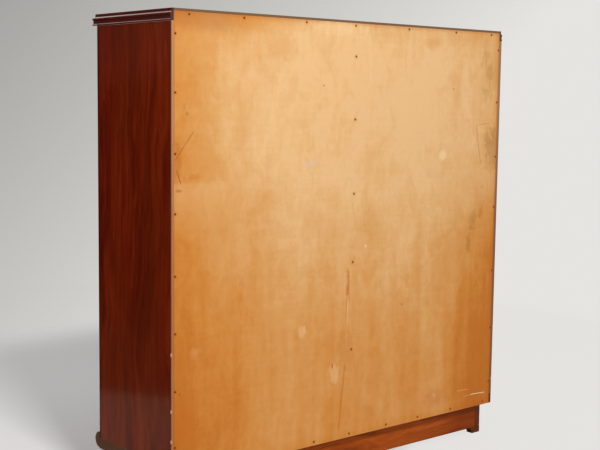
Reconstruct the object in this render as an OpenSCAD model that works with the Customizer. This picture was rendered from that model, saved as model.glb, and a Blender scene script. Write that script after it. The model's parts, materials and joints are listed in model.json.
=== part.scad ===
// Tambour door cabinet: a mahogany carcass on a recessed plinth, with a pinned ply back.
// Two slatted shutters meet at the middle of the front and run round into the ends.
// +X is the right-hand end seen from the front, -Y is the front and +Z is up.
// The origin is on the floor, in the middle of the overall width and depth.

/* [Carcass] */
// Width over the outer faces of the two ends
body_w = 1220; // [1100:10:1500]
// Height from the floor to the top surface
body_h = 1260; // [900:10:1500]
// Depth of an end, from its rear edge to its front edge
end_d = 342; // [320:2:460]
// Thickness of an end
end_t = 22; // [20:1:28]
// Thickness of the top board
top_t = 30; // [26:1:40]
// Thickness of the bottom board
base_t = 30; // [26:1:40]
// Thickness of the centre divider
divider_t = 22; // [18:1:28]
// Depth of the solid lipping on an end's front edge
lipping_d = 6; // [4:1:10]
// Radius of the rounded corners of a lipping
lipping_r = 1.5; // [0.5:0.5:2]
// Length of a dowel
dowel_len = 32; // [24:1:34]
// Diameter of a dowel
dowel_d = 8; // [6:1:10]

/* [Top moulding] */
// Overhang of the top board in front of the ends
top_front = 20; // [16:1:22]
// Overhang of the top board beyond each end
top_side = 2; // [0:1:6]
// Height of the plain edge above the hollow
fillet_h = 6.5; // [4:0.5:8]
// Ledge between the plain edge and the hollow
quirk_w = 0.5; // [0.3:0.1:1]
// Radius of the hollow cut round the edge
cavetto_r = 4.5; // [3:0.5:6]
// Height of the nose under the hollow
nose_h = 4.5; // [3:0.5:6]
// Depth of the sunk band between the nose and the bead
band_d = 2; // [1:0.5:4]
// Radius of the bead along the bottom edge
bead_r = 2.5; // [1.5:0.5:4]

/* [Back] */
// Thickness of the ply back
back_t = 5; // [4:1:8]
// Width of the end left showing beside the back
back_side_lip = 9; // [7:1:11]
// Height of the top board left showing above the back
back_top_lip = 6; // [4:1:8]
// Clearance round the back in its rebate
back_gap = 0.3; // [0.2:0.1:0.6]
// Shank diameter of a panel pin
pin_d = 1.6; // [1.2:0.1:2]
// Head diameter of a panel pin
pin_head_d = 3.6; // [2.6:0.1:4]
// Length of a panel pin
pin_len = 22; // [16:1:26]

/* [Plinth] */
// Height of the underside of the bottom board
plinth_h = 95; // [70:1:140]
// Thickness of a plinth rail
plinth_t = 22; // [18:1:26]
// Distance of the plinth inside the ends
plinth_end_set = 26; // [14:1:50]
// Distance of the plinth inside the rear face
plinth_rear_set = 21; // [10:1:50]
// Distance of the plinth behind the front of the sill
plinth_front_set = 8; // [4:1:40]
// Height of a bracket foot
foot_h = 18; // [12:1:22]
// Length of the flat underside of a bracket foot
foot_flat = 34; // [30:1:60]
// Width of a corner block
block_w = 40; // [34:1:50]
// Height of a corner block
block_h = 40; // [30:1:46]

/* [Sill] */
// Height of the half-round sill on the front of the bottom board
sill_h = 44; // [42:1:48]
// Height of the sill above the underside of the bottom board
sill_lift = 2; // [0:1:4]

/* [Shutters] */
// Pitch of the slats along the canvas
slat_pitch = 18; // [14:1:20]
// Gap between two slats
slat_gap = 0.8; // [0.4:0.1:1.2]
// Thickness of a slat at its crown
slat_t = 9; // [8:0.5:9]
// Thickness of a slat at its edge
slat_edge_t = 5; // [4:0.5:6]
// Thickness of the tongues that run in the grooves
tongue_t = 8; // [6:0.5:8.5]
// Thickness of the canvas behind the slats
canvas_t = 0.8; // [0.5:0.1:1]
// Width of the groove that the shutters run in
track_w = 10; // [9.5:0.5:11]
// Depth of that groove
track_deep = 8; // [6:0.5:10]
// Distance of the groove's middle behind the front of the ends
track_set = 16; // [15:0.5:17]
// Radius of the groove's bends at its middle
bend_r = 40; // [40:1:44]
// Clearance between an end and the groove beside it
track_side = 5; // [4:1:6]
// Clearance between the back and the groove in front of it
track_rear = 4; // [3:1:6]
// Length of shutter that stays past the bend when it is shut
tail_len = 30; // [18:1:40]
// Width of a meeting stile
stile_w = 36; // [36:1:44]
// Thickness of a meeting stile
stile_t = 19; // [18:0.5:21]
// Gap between the two meeting stiles
meet_gap = 1; // [0.6:0.1:2]
// Thickness of a front jamb
jamb_t = 9; // [7:0.5:9]
// Thickness of a felt buffer
felt_t = 3; // [2:0.5:5]

/* [Interior] */
// Thickness of an inner side
inner_t = 9; // [9:0.5:10]
// Thickness of a false back
false_t = 6; // [4:0.5:8]
// Depth of the housings for the inner sides and the false backs
house_d = 4; // [3:0.5:5]
// Thickness of a shelf
shelf_t = 18; // [16:1:22]
// Number of shelves in a bay
shelf_n = 3; // [3]
// Distance of the shelves behind the front of the inner sides
shelf_set = 4; // [0:1:20]
// Diameter of a shelf peg
peg_d = 5; // [4:0.5:6]
// Length of a shelf peg outside its hole
peg_out = 10; // [8:1:14]
// Pitch of the peg holes
peg_pitch = 32; // [24:1:40]

/* [Handles and lock] */
// Length of a handle
pull_len = 180; // [120:5:240]
// Width of a handle
pull_w = 14; // [12:1:16]
// Distance that a handle stands out from its stile
pull_out = 22; // [18:1:23]
// Height of the middle of the handles
pull_z = 760; // [700:5:800]
// Diameter of a wood screw
screw_d = 4; // [3:0.5:4.5]
// Height of the middle of the lock
lock_z = 580; // [560:5:600]
// Width of the lock case from the front of its face plate
lock_w = 31; // [31:1:33]
// Height of the lock case
lock_h = 52; // [51:1:54]
// Thickness of the lock case
lock_t = 10; // [10:0.5:11]
// Thickness of the face plate and the strike plate
plate_t = 1.2; // [1:0.1:1.5]
// Length of both plates
plate_h = 74; // [72:1:84]
// Reach of the hook bolt from its pivot
hook_len = 18; // [18:0.5:19]
// Thickness of the hook bolt
hook_t = 3; // [2:0.5:4]
// Diameter of the key's shank
key_d = 4.4; // [4:0.1:4.8]

/* [Hidden] */
$fn = 64;

// Small clearances used all over: a glued joint, a running piece and a cutter's overshoot
fit_gap = 0.1;
run_gap = 1;
tongue_gap = 0.3;
pin_gap = 0.06;
over = 1;

// Frame: the sill sets the front of the whole, and the ends set its rear
half_w = body_w / 2;
sill_d = sill_h / 2;
rear_y = (end_d + sill_d) / 2;
front_y = rear_y - end_d;
floor_z = plinth_h + base_t;
ceil_z = body_h - top_t;
inside_h = ceil_z - floor_z;
end_in = half_w - end_t;
back_half = half_w - back_side_lip;
back_y = rear_y - back_t;

// The groove's path: straight front, bend, side, bend, straight rear
track_x = end_in - track_side - track_w / 2;
track_y = front_y + track_set;
rear_track_y = back_y - track_rear - track_w / 2;
bend_x = track_x - bend_r;
bend_front_y = track_y + bend_r;
bend_rear_y = rear_track_y - bend_r;
side_run = bend_rear_y - bend_front_y;

// The shutter's own line is the inner face of its slats, where the canvas holds the pitch
stile_edge = meet_gap / 2 + stile_w;
curtain_x = stile_edge + 0.4;
line_r = bend_r - slat_t / 2;
front_run = bend_x - curtain_x;
bend_run = line_r * PI / 2;
slat_n = floor((front_run + bend_run + tail_len) / slat_pitch);
curtain_len = slat_n * slat_pitch;
jamb_x = bend_x + 2;
travel = jamb_x - felt_t - 0.5 - stile_edge;
rear_run = curtain_len + travel - front_run - 2 * bend_run - side_run + slat_pitch;
rear_end_x = bend_x - rear_run;
slat_w = slat_pitch - slat_gap;
tongue_w = 10;
tongue_len = track_deep - tongue_gap;
slat_crown_r = ((slat_w / 2) ^ 2 + (slat_t - slat_edge_t) ^ 2) / (2 * (slat_t - slat_edge_t));
canvas_y = track_y + slat_t / 2;

// Meeting stiles run just behind the front of the ends
stile_y = front_y + 2;
stile_back_y = stile_y + stile_t;
divider_y = max(stile_back_y, canvas_y + canvas_t) + 2;

// Inner sides stop inside the bends, with the groove's edge clear of them
inner_off = 11;
inner_x = bend_x + inner_off;
bend_clear = 3;
inner_reach = sqrt((bend_r - track_w / 2 - bend_clear) ^ 2 - (inner_off + inner_t) ^ 2);
inner_front_y = bend_front_y - inner_reach;
inner_rear_y = bend_rear_y + inner_reach;
false_y = inner_rear_y - false_t;
shelf_front_y = inner_front_y + shelf_set;
shelf_rear_y = false_y - 0.5;
shelf_x0 = divider_t / 2 + 0.5;
shelf_x1 = inner_x - 0.5;
shelf_step = (inside_h - shelf_n * shelf_t) / (shelf_n + 1) + shelf_t;
peg_in = min(inner_t - 2, divider_t / 2 - 2);
peg_front_y = shelf_front_y + 40;
peg_rear_y = shelf_rear_y - 40;

// Plinth outline
plinth_half = half_w - plinth_end_set;
plinth_rear_y = rear_y - plinth_rear_set;
plinth_front_y = front_y - sill_d + plinth_front_set;
bracket_len = foot_flat + foot_h;
block_screw_len = block_h + base_t - track_deep - 4;

// Pins: places are shares of the back's half width and of its height, and set-ins from its edge
top_pin_set = 7;
bottom_pin_set = 10;
side_pin_set = 4.5;
pin_head_t = 0.8;
pin_top_shares = [-0.935, -0.67, -0.34, 0.005, 0.3, 0.645, 0.925];
pin_bottom_shares = [-0.95, -0.7, -0.46, -0.24, 0.005, 0.225, 0.46, 0.7, 0.94];
pin_near_shares = [0.07, 0.193, 0.319, 0.443, 0.576, 0.703, 0.831, 0.953];
pin_far_shares = [0.061, 0.21, 0.367, 0.539, 0.674, 0.818, 0.955];
pin_mid_shares = [0.218, 0.432, 0.597, 0.774, 0.922];
back_top_z = body_h - back_top_lip;
back_h = back_top_z - plinth_h;
pin_places = concat(
    [for (s = pin_top_shares) [s * back_half, back_top_z - top_pin_set]],
    [for (s = pin_bottom_shares) [s * back_half, plinth_h + bottom_pin_set]],
    [for (s = pin_near_shares) [back_half - side_pin_set, plinth_h + s * back_h]],
    [for (s = pin_far_shares) [side_pin_set - back_half, plinth_h + s * back_h]],
    [for (s = pin_mid_shares) [0, plinth_h + s * back_h]]
);

// Dowels stand in the ends and in the divider
dowel_x = [-half_w + end_t / 2, 0, half_w - end_t / 2];
dowel_y = [front_y + end_d * 0.15, front_y + end_d * 0.5, front_y + end_d * 0.85];

// Lock, measured from the middle of the meeting gap and from lock_z
lock_face_x = meet_gap / 2;
lock_y = stile_y + stile_t / 2;
pivot_x = lock_face_x + 12;
pivot_z = lock_z + 2;
hook_w = 6;
nib_len = 5;
hub_r = 5.5;
pin_r = 1.5;
tail_turn = -26;
tail_w = 3;
hook_tail = 13;
key_x = lock_face_x + 22;
key_z = lock_z - 14;
bit_len = 7;
bit_t = 2;
bit_w = 4;
key_slack = 0.5;
wall_t = 1;
plate_w = 12;
slot_w = hook_t + 1.5;
slot_low = 4.5;
slot_high = 18;
// The nib passes behind the strike plate, and so starts past its inner face
nib_t = hook_len - (pivot_x + lock_face_x + plate_t) - 0.3;
plate_screw_d = 2.6;
plate_screw_len = 12;
escutcheon_t = 1;
escutcheon_w = 15;
escutcheon_h = 26;
tack_d = 1.2;
tack_head_t = 0.5;
// The tacks end short of the lock case
tack_len = escutcheon_t + (stile_t - lock_t) / 2 - 0.5;
bow_r = 8;
bow_w = 3;
bow_t = 2.6;
collar_d = 7;
collar_t = 1.5;
key_reach = pull_out - 0.5;

wood = [0.36, 0.12, 0.06];
wood_inside = [0.55, 0.26, 0.13];
ply = [0.85, 0.6, 0.36];
brass = [0.8, 0.62, 0.3];
steel = [0.6, 0.6, 0.62];

// Draws its children for the right-hand half, or mirrored for the left-hand half
module side_of(right) {
    mirror([right ? 0 : 1, 0, 0]) children();
}

// A box between two corners
module span(low, high) {
    translate(low) cube(high - low);
}

// A straight cylinder along +Y from a point
module rod_y(at, d, len) {
    translate(at) rotate([-90, 0, 0]) cylinder(d = d, h = len);
}

// Ring sector of the groove in one corner, between two radii
module bend_2d(centre, r0, r1, front) {
    translate(centre) intersection() {
        difference() {
            circle(r = r1, $fn = 128);
            circle(r = r0, $fn = 128);
        }
        translate([0, front ? -2 * r1 : 0]) square(2 * r1);
    }
}

// Outline of the groove in one half of a board. Its straight and bent stretches meet edge to edge.
module track_2d() {
    w = track_w / 2;
    translate([-over, track_y - w]) square([bend_x + over, track_w]);
    bend_2d([bend_x, bend_front_y], bend_r - w, bend_r + w, true);
    translate([track_x - w, bend_front_y]) square([track_w, side_run]);
    bend_2d([bend_x, bend_rear_y], bend_r - w, bend_r + w, false);
    translate([rear_end_x, rear_track_y - w]) square([rear_run, track_w]);
}

// All that is cut into the inner face of the top or the bottom board, upwards from z = 0
module board_cuts() {
    for (right = [false, true]) side_of(right) {
        translate([0, 0, -over]) linear_extrude(track_deep + over) track_2d();
        span([inner_x - fit_gap, inner_front_y - fit_gap, -over],
             [inner_x + inner_t + fit_gap, inner_rear_y + fit_gap, house_d]);
        span([divider_t / 2, false_y - fit_gap, -over],
             [inner_x, inner_rear_y + fit_gap, house_d]);
    }
    for (x = dowel_x, y = dowel_y)
        translate([x, y, -over]) cylinder(d = dowel_d + 2 * fit_gap, h = dowel_len / 2 + 0.5 + over);
}

// Holes for the panel pins, wherever a piece lies in their way
module pin_holes() {
    for (p = pin_places) rod_y([p[0], rear_y - pin_len - 0.5, p[1]], pin_d + 2 * fit_gap, pin_len + over);
}

// Edge moulding of the top board: what is left of a rectangle w wide, outer edge at the right
module edge_2d(w) {
    nose_top = -fillet_h - cavetto_r;
    hollow_x = w - 1;
    difference() {
        translate([0, -top_t]) square([w, top_t]);
        translate([hollow_x, -fillet_h]) circle(r = cavetto_r);
        translate([hollow_x, nose_top]) square([1 + over, cavetto_r + over]);
        translate([hollow_x - cavetto_r - quirk_w, -fillet_h])
            square([cavetto_r + quirk_w + 1 + over, fillet_h + over]);
        translate([w - band_d, bead_r * 2 - top_t])
            square([band_d + over, top_t + nose_top - nose_h - 2 * bead_r]);
        translate([w - bead_r, -top_t - over]) square([bead_r + over, bead_r * 2 + over]);
    }
    translate([w - bead_r, bead_r - top_t]) circle(r = bead_r);
}

module top_board() {
    top_half = half_w + top_side;
    top_d = end_d + top_front;
    color(wood) difference() {
        intersection() {
            translate([0, rear_y, body_h]) rotate([90, 0, 0]) linear_extrude(top_d) union() {
                edge_2d(top_half);
                mirror([1, 0]) edge_2d(top_half);
            }
            translate([-top_half, rear_y, body_h]) rotate([90, 0, 90])
                linear_extrude(2 * top_half) mirror([1, 0]) edge_2d(top_d);
        }
        span([-back_half, back_y, ceil_z - over], [back_half, rear_y + over, back_top_z]);
        translate([0, 0, ceil_z]) board_cuts();
        pin_holes();
    }
}

module bottom_board() {
    color(wood) difference() {
        span([-half_w, front_y, plinth_h], [half_w, rear_y, floor_z]);
        span([-back_half, back_y, plinth_h - over], [back_half, rear_y + over, floor_z + over]);
        translate([0, 0, floor_z]) mirror([0, 0, 1]) board_cuts();
        pin_holes();
        plinth_screw_places() translate([0, 0, -over])
            cylinder(d = screw_d + 2 * fit_gap, h = block_screw_len - block_h + 0.5 + over);
    }
}

// Half-round sill along the front of the bottom board
module sill_moulding() {
    color(wood) intersection() {
        translate([-half_w, front_y, plinth_h + sill_lift + sill_h / 2]) rotate([0, 90, 0])
            cylinder(d = sill_h, h = body_w, $fn = 96);
        span([-half_w, front_y - sill_h, plinth_h], [half_w, front_y, plinth_h + sill_lift + sill_h + over]);
    }
}

module end_panel(right) {
    color(wood) side_of(right) difference() {
        span([end_in, front_y + lipping_d, floor_z], [half_w, rear_y, ceil_z]);
        span([end_in - over, back_y, floor_z - over], [back_half, rear_y + over, ceil_z + over]);
        for (y = dowel_y, z = [floor_z - over, ceil_z - dowel_len / 2 - 0.5])
            translate([half_w - end_t / 2, y, z])
                cylinder(d = dowel_d + 2 * fit_gap, h = dowel_len / 2 + 0.5 + over);
        side_of(right) pin_holes();
    }
}

module end_lipping(right) {
    color(wood) side_of(right) translate([end_in, front_y, floor_z]) linear_extrude(inside_h) {
        translate([lipping_r, 0]) square([end_t - 2 * lipping_r, lipping_d]);
        translate([0, lipping_r]) square([end_t, lipping_d - lipping_r]);
        for (x = [lipping_r, end_t - lipping_r]) translate([x, lipping_r]) circle(r = lipping_r);
    }
}

module centre_divider() {
    color(wood_inside) difference() {
        span([-divider_t / 2, divider_y, floor_z], [divider_t / 2, back_y, ceil_z]);
        for (y = dowel_y, z = [floor_z - over, ceil_z - dowel_len / 2 - 0.5])
            translate([0, y, z]) cylinder(d = dowel_d + 2 * fit_gap, h = dowel_len / 2 + 0.5 + over);
        for (right = [false, true]) side_of(right) peg_rows(divider_t / 2, -1, false);
        pin_holes();
    }
}

module back_panel() {
    color(ply) difference() {
        span([-back_half + back_gap, back_y, plinth_h],
             [back_half - back_gap, rear_y, back_top_z - back_gap]);
        pin_holes();
        for (p = pin_places)
            rod_y([p[0], rear_y - pin_head_t - fit_gap, p[1]], pin_head_d + 2 * fit_gap,
                  pin_head_t + over);
    }
}

module back_pins() {
    color(steel) for (p = pin_places) {
        rod_y([p[0], rear_y - pin_len, p[1]], pin_d, pin_len);
        rod_y([p[0], rear_y - pin_head_t, p[1]], pin_head_d, pin_head_t);
    }
}

module carcass_dowels() {
    color(wood_inside) for (x = dowel_x, y = dowel_y, z = [floor_z, ceil_z])
        translate([x, y, z - dowel_len / 2]) cylinder(d = dowel_d, h = dowel_len);
}

// Pilaster that hides the bend of a shutter
module jamb(right) {
    color(wood) side_of(right)
        span([jamb_x, front_y, floor_z], [end_in, front_y + jamb_t, ceil_z]);
}

module inner_side(right) {
    color(wood_inside) side_of(right) difference() {
        span([inner_x, inner_front_y, floor_z - house_d + fit_gap],
             [inner_x + inner_t, inner_rear_y, ceil_z + house_d - fit_gap]);
        peg_rows(inner_x, 1, false);
    }
}

module false_back(right) {
    color(ply) side_of(right)
        span([divider_t / 2 + fit_gap, false_y, floor_z - house_d + fit_gap],
             [inner_x - fit_gap, inner_rear_y, ceil_z + house_d - fit_gap]);
}

function shelf_z(n) = floor_z + n * shelf_step - shelf_t;

module shelf(right, n) {
    color(wood_inside) side_of(right)
        span([shelf_x0, shelf_front_y, shelf_z(n)], [shelf_x1, shelf_rear_y, shelf_z(n) + shelf_t]);
}

// Pegs, or their holes with a spare hole above and below each, in a wall face at x.
// into is the way into the wood.
module peg_rows(x, into, solid) {
    from = solid ? -peg_out : -over;
    to = solid ? peg_in : peg_in + 0.5;
    spare = solid ? [0] : [-1, 0, 1];
    d = solid ? peg_d : peg_d + 2 * fit_gap;
    for (n = [1 : shelf_n], y = [peg_front_y, peg_rear_y], k = spare)
        translate([x + into * from, y, shelf_z(n) - peg_d / 2 - fit_gap + k * peg_pitch])
            rotate([0, into * 90, 0]) cylinder(d = d, h = to - from);
}

module shelf_pegs() {
    color(brass) for (right = [false, true]) side_of(right) {
        peg_rows(divider_t / 2, -1, true);
        peg_rows(inner_x, 1, true);
    }
}

module plinth_front_rail() {
    color(wood) span([-plinth_half, plinth_front_y, foot_h],
                     [plinth_half, plinth_front_y + plinth_t, plinth_h]);
}

module plinth_rear_rail() {
    color(wood) span([plinth_t - plinth_half, plinth_rear_y - plinth_t, foot_h],
                     [plinth_half - plinth_t, plinth_rear_y, plinth_h]);
}

module plinth_side_rail(right) {
    color(wood) side_of(right)
        span([plinth_half - plinth_t, plinth_front_y + plinth_t, foot_h],
             [plinth_half, plinth_rear_y, plinth_h]);
}

module plinth_cross_rail() {
    color(wood_inside) span([-plinth_t / 2, plinth_front_y + plinth_t, foot_h],
                            [plinth_t / 2, plinth_rear_y - plinth_t, plinth_h]);
}

// The four inner corners of the plinth, drawn outwards from each
module plinth_corners() {
    for (sx = [-1, 1], front = [true, false]) {
        y = front ? plinth_front_y + plinth_t : plinth_rear_y - plinth_t;
        translate([sx * (plinth_half - plinth_t), y, 0]) mirror([sx > 0 ? 1 : 0, 0, 0])
            mirror([0, front ? 0 : 1, 0]) children();
    }
}

module plinth_screw_places() {
    plinth_corners() translate([block_w / 2, block_w / 2, plinth_h]) children();
}

module plinth_corner_blocks() {
    color(wood_inside) difference() {
        plinth_corners() span([0, 0, plinth_h - block_h], [block_w, block_w, plinth_h]);
        plinth_screw_places() translate([0, 0, -block_h - over]) {
            cylinder(d = screw_d + 2 * fit_gap, h = block_h + 2 * over);
            cylinder(d = 2 * screw_d + 2 * fit_gap, h = screw_d / 2 + over + fit_gap);
        }
    }
}

module plinth_screws() {
    color(steel) plinth_screw_places() translate([0, 0, -block_h]) {
        cylinder(d = screw_d, h = block_screw_len);
        cylinder(d = 2 * screw_d, h = screw_d / 2);
    }
}

// One leg of a bracket foot, along +X from its outer corner
module bracket_2d() {
    difference() {
        square([bracket_len, foot_h]);
        translate([bracket_len, 0]) circle(r = foot_h);
    }
}

// A bracket foot under an outer corner of the plinth
module bracket_foot(right, front) {
    y = front ? plinth_front_y : plinth_rear_y;
    color(wood) side_of(right) translate([plinth_half, y, 0]) mirror([0, front ? 0 : 1, 0])
        mirror([1, 0, 0]) {
            translate([0, plinth_t, 0]) rotate([90, 0, 0]) linear_extrude(plinth_t) bracket_2d();
            rotate([90, 0, 90]) linear_extrude(plinth_t) bracket_2d();
        }
}

// Place and turn of the slat whose middle lies s along the shutter's line
function bend_turn(s) = min(max(s - front_run, 0), bend_run) / bend_run * 90;
function slat_place(s) =
    let (a = bend_turn(s), past = max(s - front_run - bend_run, 0))
    [min(curtain_x + s, bend_x) + line_r * sin(a), bend_front_y - line_r * cos(a) + past];

module slats(right) {
    color(wood) side_of(right) for (n = [0 : slat_n - 1]) {
        s = (n + 0.5) * slat_pitch;
        translate([slat_place(s)[0], slat_place(s)[1], floor_z + fit_gap]) rotate(bend_turn(s)) {
            linear_extrude(inside_h - 2 * fit_gap) intersection() {
                translate([-slat_w / 2, -slat_t]) square([slat_w, slat_t]);
                translate([0, slat_crown_r - slat_t]) circle(r = slat_crown_r);
            }
            translate([-tongue_w / 2, -(slat_t + tongue_t) / 2, -tongue_len - fit_gap])
                cube([tongue_w, tongue_t, inside_h + 2 * tongue_len]);
        }
    }
}

// The canvas follows the inner faces of the slats
module canvas(right) {
    tail = curtain_len - front_run - bend_run;
    color([0.75, 0.7, 0.58]) side_of(right) translate([0, 0, floor_z + run_gap])
        linear_extrude(inside_h - 2 * run_gap) {
            translate([curtain_x, canvas_y]) square([front_run, canvas_t]);
            bend_2d([bend_x, bend_front_y], line_r - canvas_t, line_r, true);
            translate([bend_x + line_r - canvas_t, bend_front_y]) square([canvas_t, tail]);
        }
}

module pull_screw_places(right) {
    side_of(right) for (dz = [-pull_len / 2 + 25, pull_len / 2 - 25])
        translate([meet_gap / 2 + stile_w / 2, stile_back_y, pull_z + dz]) rotate([90, 0, 0]) children();
}

// A meeting stile, with a tongue at each end that runs in the groove
module stile(right) {
    tongue_y = track_y - tongue_t / 2 - 0.4;
    color(wood) difference() {
        side_of(right) {
            span([meet_gap / 2, stile_y, floor_z + run_gap], [stile_edge, stile_back_y, ceil_z - run_gap]);
            span([meet_gap / 2 + 4, tongue_y, floor_z - tongue_len],
                 [stile_edge - 4, tongue_y + tongue_t + 0.8, ceil_z + tongue_len]);
        }
        pull_screw_places(right) translate([0, 0, -over]) {
            cylinder(d = screw_d + 2 * fit_gap, h = stile_t + 2 * over);
            cylinder(d = 2 * screw_d + 2 * fit_gap, h = screw_d / 2 + over + fit_gap);
        }
        if (right) lock_mortise();
        else strike_mortise();
    }
}

// A handle: a flat foot, a narrow neck and a rounded grip, all the way along
module pull(right) {
    grip_r = pull_w / 2;
    color(wood) difference() {
        side_of(right) translate([meet_gap / 2 + stile_w / 2, stile_y, pull_z - pull_len / 2])
            linear_extrude(pull_len) {
                translate([-pull_w / 2, -3]) square([pull_w, 3]);
                translate([-pull_w / 4, -pull_out + grip_r]) square([pull_w / 2, pull_out - grip_r - 1]);
                translate([0, -pull_out + grip_r]) circle(r = grip_r);
            }
        pull_screw_places(right) cylinder(d = screw_d + 2 * fit_gap, h = stile_t + pull_out - 8 + fit_gap);
    }
}

module pull_screws(right) {
    color(steel) pull_screw_places(right) {
        cylinder(d = screw_d, h = stile_t + pull_out - 8);
        cylinder(d = 2 * screw_d, h = screw_d / 2);
    }
}

// Felt pads on the edge of each jamb, where the meeting stile stops
module felt_buffers() {
    color([0.2, 0.35, 0.25]) for (right = [false, true], share = [0.2, 0.8])
        side_of(right) translate([jamb_x - felt_t, front_y + 1, floor_z + share * inside_h - 20])
            cube([felt_t, jamb_t - 2, 40]);
}

// Points at which a plate is screwed to a meeting edge, with the screw along +X
module plate_screw_places() {
    for (dz = [-plate_h / 2 + 5, plate_h / 2 - 5])
        translate([lock_face_x, lock_y, lock_z + dz]) rotate([0, 90, 0]) children();
}

module plate_screw() {
    cylinder(d = plate_screw_d, h = plate_screw_len);
    cylinder(d1 = 2 * plate_screw_d, d2 = plate_screw_d, h = plate_t);
}

module plate_screw_hole() {
    translate([0, 0, -over]) cylinder(d = plate_screw_d + 2 * fit_gap, h = plate_screw_len + 0.5 + over);
    translate([0, 0, -fit_gap])
        cylinder(d1 = 2 * plate_screw_d + 4 * fit_gap, d2 = plate_screw_d + 2 * fit_gap,
                 h = plate_t + fit_gap);
}

// The slot that the hook bolt passes through, in the face plate and the strike
module hook_slot() {
    span([-over, lock_y - slot_w / 2, pivot_z - slot_low],
         [lock_face_x + plate_t + over, lock_y + slot_w / 2, pivot_z + slot_high]);
}

// Round hole for the key's shank with a slot for its bit below, slack wider all round
module keyhole(slack) {
    y = stile_y - escutcheon_t - over;
    rod_y([key_x, y, key_z], key_d + 2 * slack, lock_y - y);
    span([key_x - bit_t / 2 - key_slack, y, key_z - bit_len - key_slack],
         [key_x + bit_t / 2 + key_slack, lock_y, key_z]);
}

module lock_mortise() {
    span([0, lock_y - plate_w / 2 - fit_gap, lock_z - plate_h / 2 - fit_gap],
         [lock_face_x + plate_t, lock_y + plate_w / 2 + fit_gap, lock_z + plate_h / 2 + fit_gap]);
    span([0, lock_y - lock_t / 2 - fit_gap, lock_z - lock_h / 2 - fit_gap],
         [lock_face_x + lock_w + fit_gap, lock_y + lock_t / 2 + fit_gap, lock_z + lock_h / 2 + fit_gap]);
    plate_screw_places() plate_screw_hole();
    keyhole(key_slack);
    escutcheon_pin_places() rod_y([0, -over, 0], tack_d + 2 * fit_gap, tack_len + over);
}

// Folded case with its face plate and the pivot of the hook bolt
module lock_case() {
    color(brass) difference() {
        union() {
            span([lock_face_x, lock_y - plate_w / 2, lock_z - plate_h / 2],
                 [lock_face_x + plate_t, lock_y + plate_w / 2, lock_z + plate_h / 2]);
            difference() {
                span([lock_face_x, lock_y - lock_t / 2, lock_z - lock_h / 2],
                     [lock_face_x + lock_w, lock_y + lock_t / 2, lock_z + lock_h / 2]);
                span([lock_face_x + plate_t, lock_y - lock_t / 2 + wall_t,
                      lock_z - lock_h / 2 + wall_t],
                     [lock_face_x + lock_w - wall_t, lock_y + lock_t / 2 - wall_t,
                      lock_z + lock_h / 2 - wall_t]);
            }
            rod_y([pivot_x, lock_y - lock_t / 2 + wall_t / 2, pivot_z], 2 * pin_r, lock_t - wall_t);
        }
        hook_slot();
        plate_screw_places() plate_screw_hole();
        keyhole(pin_gap);
    }
}

module lock_plate_screws() {
    color(steel) plate_screw_places() plate_screw();
}

// The hook bolt: up inside the case at rest, thrown outwards when the key turns
module hook_bolt() {
    color(brass) translate([pivot_x, lock_y + hook_t / 2, pivot_z]) rotate([90, 0, 0])
        linear_extrude(hook_t) difference() {
            union() {
                circle(r = hub_r);
                translate([-hook_w / 2, 0]) square([hook_w, hook_len]);
                translate([-hook_w / 2 - nib_len, hook_len - nib_t]) square([nib_len + over, nib_t]);
                rotate(tail_turn) translate([-tail_w / 2, -hook_tail]) square([tail_w, hook_tail]);
            }
            circle(r = pin_r + pin_gap);
        }
}

// The two points of the escutcheon's pins, on the face of the stile
module escutcheon_pin_places() {
    for (dz = [-1, 1]) translate([key_x, stile_y, key_z - bit_len / 2 + dz * (escutcheon_h / 2 - 3)])
        children();
}

module escutcheon() {
    color(brass) difference() {
        translate([key_x, stile_y, key_z - bit_len / 2]) rotate([90, 0, 0])
            linear_extrude(escutcheon_t) {
                square([escutcheon_w, escutcheon_h - escutcheon_w], center = true);
                for (dz = [-1, 1]) translate([0, dz * (escutcheon_h - escutcheon_w) / 2])
                    circle(d = escutcheon_w);
            }
        keyhole(key_slack);
        escutcheon_pin_places() rod_y([0, -2 * over, 0], tack_d + 2 * fit_gap, 4 * over);
    }
}

module escutcheon_pins() {
    color(brass) escutcheon_pin_places() {
        rod_y([0, -escutcheon_t, 0], tack_d, tack_len);
        rod_y([0, -escutcheon_t - tack_head_t, 0], 2 * tack_d, tack_head_t);
    }
}

// Key with a flat ring bow outside, a collar, a shank and a bit inside the case
module key() {
    tip_y = lock_y + bit_w / 2;
    bow_y = stile_y - key_reach;
    shank_y = bow_y + 2 * bow_r - bow_w / 2;
    color(steel) {
        rod_y([key_x, shank_y, key_z], key_d, tip_y - shank_y);
        rod_y([key_x, stile_y - escutcheon_t - tongue_gap - collar_t, key_z], collar_d, collar_t);
        translate([key_x - bow_t / 2, bow_y + bow_r, key_z]) rotate([0, 90, 0]) difference() {
            cylinder(r = bow_r, h = bow_t);
            translate([0, 0, -over]) cylinder(r = bow_r - bow_w, h = bow_t + 2 * over);
        }
        span([key_x - bit_t / 2, lock_y - bit_w / 2, key_z - bit_len], [key_x + bit_t / 2, tip_y, key_z]);
    }
}

module strike_mortise() {
    mirror([1, 0, 0]) {
        span([0, lock_y - plate_w / 2 - fit_gap, lock_z - plate_h / 2 - fit_gap],
             [lock_face_x + plate_t, lock_y + plate_w / 2 + fit_gap, lock_z + plate_h / 2 + fit_gap]);
        span([0, lock_y - slot_w / 2, pivot_z - slot_low - nib_len - 2],
             [hook_len + 2, lock_y + slot_w / 2, pivot_z + slot_high]);
        plate_screw_places() plate_screw_hole();
    }
}

module strike_plate() {
    color(brass) mirror([1, 0, 0]) difference() {
        span([lock_face_x, lock_y - plate_w / 2, lock_z - plate_h / 2],
             [lock_face_x + plate_t, lock_y + plate_w / 2, lock_z + plate_h / 2]);
        hook_slot();
        plate_screw_places() plate_screw_hole();
    }
}

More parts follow.
